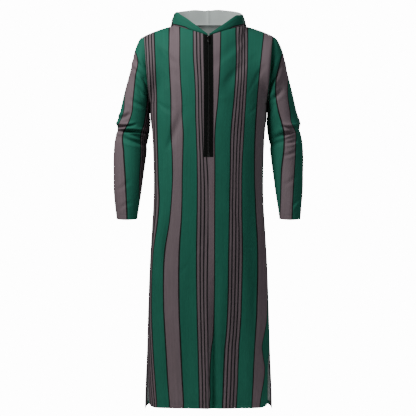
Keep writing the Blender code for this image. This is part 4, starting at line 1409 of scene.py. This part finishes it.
def make_chain(fronts, plastic):
    """Run the closed teeth from the slider to the stop, and close them with the stop."""
    ways = zip_line(fronts)
    line = ways[0]
    run = run_of(line)

    def block(place, *sizes):
        """Give a block over the zip at a running length."""
        return brick(*[between(place, run, way) for way in ways], *sizes)

    start = np.interp(-(SLIDER_SPOT + ZIP_DOWN * SLIDER_HALF_LENGTH)[2], -line[:, 2], run)
    end = np.interp(-CHAIN_END_Z, -line[:, 2], run)
    teeth = []
    for count, place in enumerate(np.arange(start + TOOTH_PITCH / 2, end, TOOTH_PITCH)):
        left, right = (-CHAIN_HALF, TOOTH_REACH) if count % 2 else (-TOOTH_REACH, CHAIN_HALF)
        teeth.append(block(place, left, right, TOOTH_HALF, TOOTH_TOP))
    dress(join_up("teeth", teeth, [plastic], 30), "zip_teeth", "zip_chain")
    middle = end + STOP_HALF_LENGTH + STOP_GAP
    stop = block(middle, -CHAIN_HALF, CHAIN_HALF, STOP_HALF_LENGTH, STOP_TOP, STOP_BEVEL)
    low = middle + STOP_HALF_LENGTH
    half = (run[-1] - low) / 2
    bar = block(low + half, -TAPE_INNER, TAPE_INNER, half, TAPE_TOP)
    dress(join_up("end_stop", [stop, bar], [plastic], 30), "zip_teeth", "zip_stop")


def make_slider(lacquer):
    """Make the slider: its rounded body and the arched bridge over the pull's bar."""
    outline = rounded(mirrored(SLIDER_HALF), 0.0014)
    levels = [(SLIDER_BASE, 0.0004), (SLIDER_BASE + 0.0003, 0.0), (SLIDER_TOP - 0.0011, 0.0),
              (SLIDER_TOP - 0.0005, 0.0002), (SLIDER_TOP - 0.0001, 0.0008), (SLIDER_TOP, 0.0014)]
    body = loft([on_zip(inset(outline, cut), level) for level, cut in levels])
    path = np.array([(-down, off) for down, off in reversed(BRIDGE_PATH_HALF)] + BRIDGE_PATH_HALF)
    strap = rounded([(-BRIDGE_HALF, -BRIDGE_WALL), (BRIDGE_HALF, -BRIDGE_WALL),
                     (BRIDGE_HALF, BRIDGE_WALL), (-BRIDGE_HALF, BRIDGE_WALL)], 0.0004, 3)
    rings = []
    for (down, off), (down_way, off_way) in zip(path, unit(np.gradient(path, axis=0))):
        rings.append([SLIDER_SPOT + ZIP_DOWN * (down - off_way * thick)
                      + ZIP_OFF * (off + down_way * thick) + ACROSS * out for out, thick in strap])
    dress(join_up("slider", [body, loft(rings)], [lacquer], 35), "slider_metal", "zip_slider")


def turns_of(outline, middle):
    """Give the turns of an outline's points about a middle."""
    return np.arctan2(outline[:, 1] - middle[1], outline[:, 0] - middle[0])


def sampled(outline, turns, middle):
    """Sample an outline at given turns about a middle."""
    own = turns_of(outline, middle)
    order = np.argsort(own)
    wide = np.concatenate([own[order] - 2 * math.pi, own[order], own[order] + 2 * math.pi])
    return np.stack([np.interp(turns, wide, np.tile(outline[order, axis], 3)) for axis in range(2)],
                    axis=1)


def make_pull(lacquer):
    """Make the pull tab with its window, a raised rim and a sunk grip."""
    outline = rounded(mirrored(PULL_HALF), 0.0007, 7)
    window = rounded(mirrored(WINDOW_HALF), 0.0007, 7)
    middle = np.mean(mirrored(WINDOW_HALF), axis=0)
    turns = np.concatenate([turns_of(outline, middle), turns_of(window, middle)])
    turns = np.unique(np.round(turns, 4))
    outline = sampled(outline, turns, middle)
    window = sampled(window, turns, middle)
    half = PULL_WALL / 2
    levels = [(outline, 0.0003, -half), (outline, 0.0, -half + 0.0003), (outline, 0.0, half - 0.0003),
              (outline, 0.0003, half), (outline, 0.0006, half), (window, -0.0003, half),
              (window, 0.0, half - 0.0003), (window, 0.0, 0.0003 - half), (window, -0.0003, -half)]
    rings = [on_zip(inset(line, cut), PULL_LEVEL + level) for line, cut, level in levels]
    grip = rounded(mirrored(GRIP_HALF), 0.0009, 6)
    pad = loft([on_zip(inset(grip, cut), PULL_LEVEL + half + level)
                for level, cut in ((-0.0003, 0.0), (0.0001, 0.0), (0.00025, 0.0003))])
    piece = join_up("pull_tab", [loft(rings, closed=True), pad], [lacquer], 35)
    dress(piece, "slider_metal", "zip_pull", body=PULL)


def beside(grid, normals, axis, distance, far_edge=True):
    """Follow the line at a distance from one edge of a grid: its points and its normals."""
    run = arcs(grid, axis)
    if far_edge:
        run = np.take(run, [-1], axis=axis) - run
    if axis == 0:
        run, grid, normals = run.T, grid.transpose(1, 0, 2), normals.transpose(1, 0, 2)
    if far_edge:
        run, grid, normals = run[:, ::-1], grid[:, ::-1], normals[:, ::-1]
    points, ways = [np.array([between(distance, *row) for row in zip(run, values)])
                    for values in (grid, normals)]
    return points, unit(ways)


def stitch(name, lines, thread):
    """Sew rows of stitches: short threads that come up out of the cloth and go back in."""
    shares = np.array([0.0, 0.28, 0.72, 1.0])
    lift = np.array([-0.0003, 0.00016, 0.00016, -0.0003])[None, :, None]
    wide = np.array([0.3, 1.0, 1.0, 0.3])[None, :, None] * STITCH_HALF
    rows = []
    for line, normals in lines:
        run = run_of(line)
        starts = np.arange(STITCH_PITCH / 2, run[-1] - STITCH_LENGTH, STITCH_PITCH)
        at = starts[:, None] + shares * STITCH_LENGTH
        middle = between(at, run, line)
        off = unit(between(at, run, normals))
        aside = np.cross(unit(np.gradient(middle, axis=1)), off)
        rows.append(np.stack([middle + off * (lift + up * wide) + aside * out * wide
                              for out, up in ((1, 0), (0, 1), (-1, 0), (0, -1))], axis=2))
    sewn = np.concatenate(rows)
    pattern = np.array(loft(sewn[0])[1][:-2])
    starts = np.arange(len(sewn)) * sewn[0].size // 3
    faces = (pattern[None] + starts[:, None, None]).reshape(-1, 4)
    piece = mesh_piece(name, sewn.reshape(-1, 3), faces.tolist(), [thread], 80)
    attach(piece, GARMENT)
    return piece


def hem_and_slits(outer, outwards, both_sides):
    """List the sewn lines of a panel: along its hem and up its slit edges."""
    lines = [beside(outer, outwards, 0, HEM_WIDTH)]
    low = outer[:, -1, 2] < SLIT_Z - SLIT_STITCH_START
    for far_edge in (True, False) if both_sides else (True,):
        points, ways = beside(outer, outwards, 1, SLIT_STITCH, far_edge)
        lines.append((points[low], ways[low]))
    return lines


def sew(fronts, back, sleeves, hood_halves, tapes):
    """Sew the hems, slits, cuffs, the hood's edge and the zip tapes."""
    green_thread = plain("green_thread", GREEN_THREAD, 0.6)
    black_thread = plain("black_thread", BLACK_THREAD, 0.6)
    for side, name in SIDES:
        piece, outer, outwards = fronts[side]
        thread = stitch("sewing_front_" + name, hem_and_slits(outer, outwards, False), green_thread)
        piece, outer, outwards = sleeves[side]
        line = beside(closed_up(outer), closed_up(outwards), 0, CUFF_WIDTH)
        thread = stitch("sewing_cuff_" + name, [line], green_thread)
        piece, outer, outwards = hood_halves[side]
        thread = stitch("sewing_hood_" + name, [beside(outer, outwards, 0, RIM_STITCH)], green_thread)
        piece, outer, outwards = tapes[side]
        line = beside(outer, outwards, 1, TAPE_EDGE - TAPE_STITCH)
        thread = stitch("sewing_tape_" + name, [line], black_thread)
    piece, outer, outwards = back
    thread = stitch("sewing_back", hem_and_slits(outer, outwards, True), green_thread)


def make_stage():
    """Lay a round pale floor where a wearer would stand."""
    turns = np.linspace(0, 2 * math.pi, 97)[:-1]
    rim = [(FLOOR_RADIUS * math.cos(turn), FLOOR_RADIUS * math.sin(turn), FLOOR_Z) for turn in turns]
    floor = mesh_piece("floor", rim, [list(range(len(rim)))],
                       [plain("pale_floor", FLOOR, 0.9, grain=0.0001, size=40.0, wear=0.01)])


def add_light(name, place, target, size, power, colour):
    """Add a soft square lamp turned to a target."""
    lamp = bpy.data.lights.new(name, "AREA")
    lamp.shape = "SQUARE"
    lamp.size = size
    lamp.energy = power
    lamp.color = colour
    holder = bpy.data.objects.new(name, lamp)
    bpy.context.collection.objects.link(holder)
    way = np.array(target) - np.array(place)
    holder.location = place
    holder.rotation_euler = (math.atan2(math.hypot(way[0], way[1]), -way[2]), 0,
                             math.atan2(-way[0], way[1]))


def make_surround():
    """Surround the scene with white: dim as a light, bright where the camera sees it."""
    world = bpy.data.worlds.new("surround")
    world.use_nodes = True
    tree = world.node_tree
    path = tree.nodes.new("ShaderNodeLightPath")
    choice = tree.nodes.new("ShaderNodeMixShader")
    tree.links.new(path.outputs["Is Camera Ray"], choice.inputs["Fac"])
    backgrounds = (tree.nodes["Background"], tree.nodes.new("ShaderNodeBackground"))
    for place, strength in enumerate((SURROUND_LIGHT, SURROUND_SEEN)):
        backgrounds[place].inputs["Color"].default_value = (1.0, 1.0, 1.0, 1.0)
        backgrounds[place].inputs["Strength"].default_value = strength
        tree.links.new(backgrounds[place].outputs[0], choice.inputs[place + 1])
    tree.links.new(choice.outputs[0], tree.nodes["World Output"].inputs["Surface"])
    bpy.context.scene.world = world


def make_camera():
    """Set the camera where the photograph was taken from."""
    camera = bpy.data.cameras.new("camera")
    camera.sensor_width = SENSOR
    camera.lens = SENSOR * CAMERA_AWAY / (PHOTO_SIZE * PIXEL)
    holder = bpy.data.objects.new("camera", camera)
    bpy.context.collection.objects.link(holder)
    holder.location = (CAMERA_X, -CAMERA_AWAY, CAMERA_Z)
    holder.rotation_euler = (math.pi / 2, 0, 0)
    bpy.context.scene.camera = holder


def main():
    """Make the surround, the light, the camera, the floor and every piece."""
    for lamp in LAMPS:
        add_light(*lamp)
    make_surround()
    make_camera()
    make_stage()
    cloths = [striped_cloth(), reverse_cloth()]
    tape = woven_tape()
    plastic = plain("black_plastic", BLACK_PLASTIC, 0.42, grain=0.00002)
    lacquer = plain("lacquered_metal", LACQUER, 0.30, metallic=0.85, coat=0.4, grain=0.00001)
    fronts = make_fronts(cloths)
    back = make_back(cloths)
    sleeves = make_sleeves(cloths)
    hood_halves = make_hood(cloths)
    tapes = make_tapes(fronts, tape)
    make_chain(fronts, plastic)
    make_slider(lacquer)
    make_pull(lacquer)
    sew(fronts, back, sleeves, hood_halves, tapes)


main()
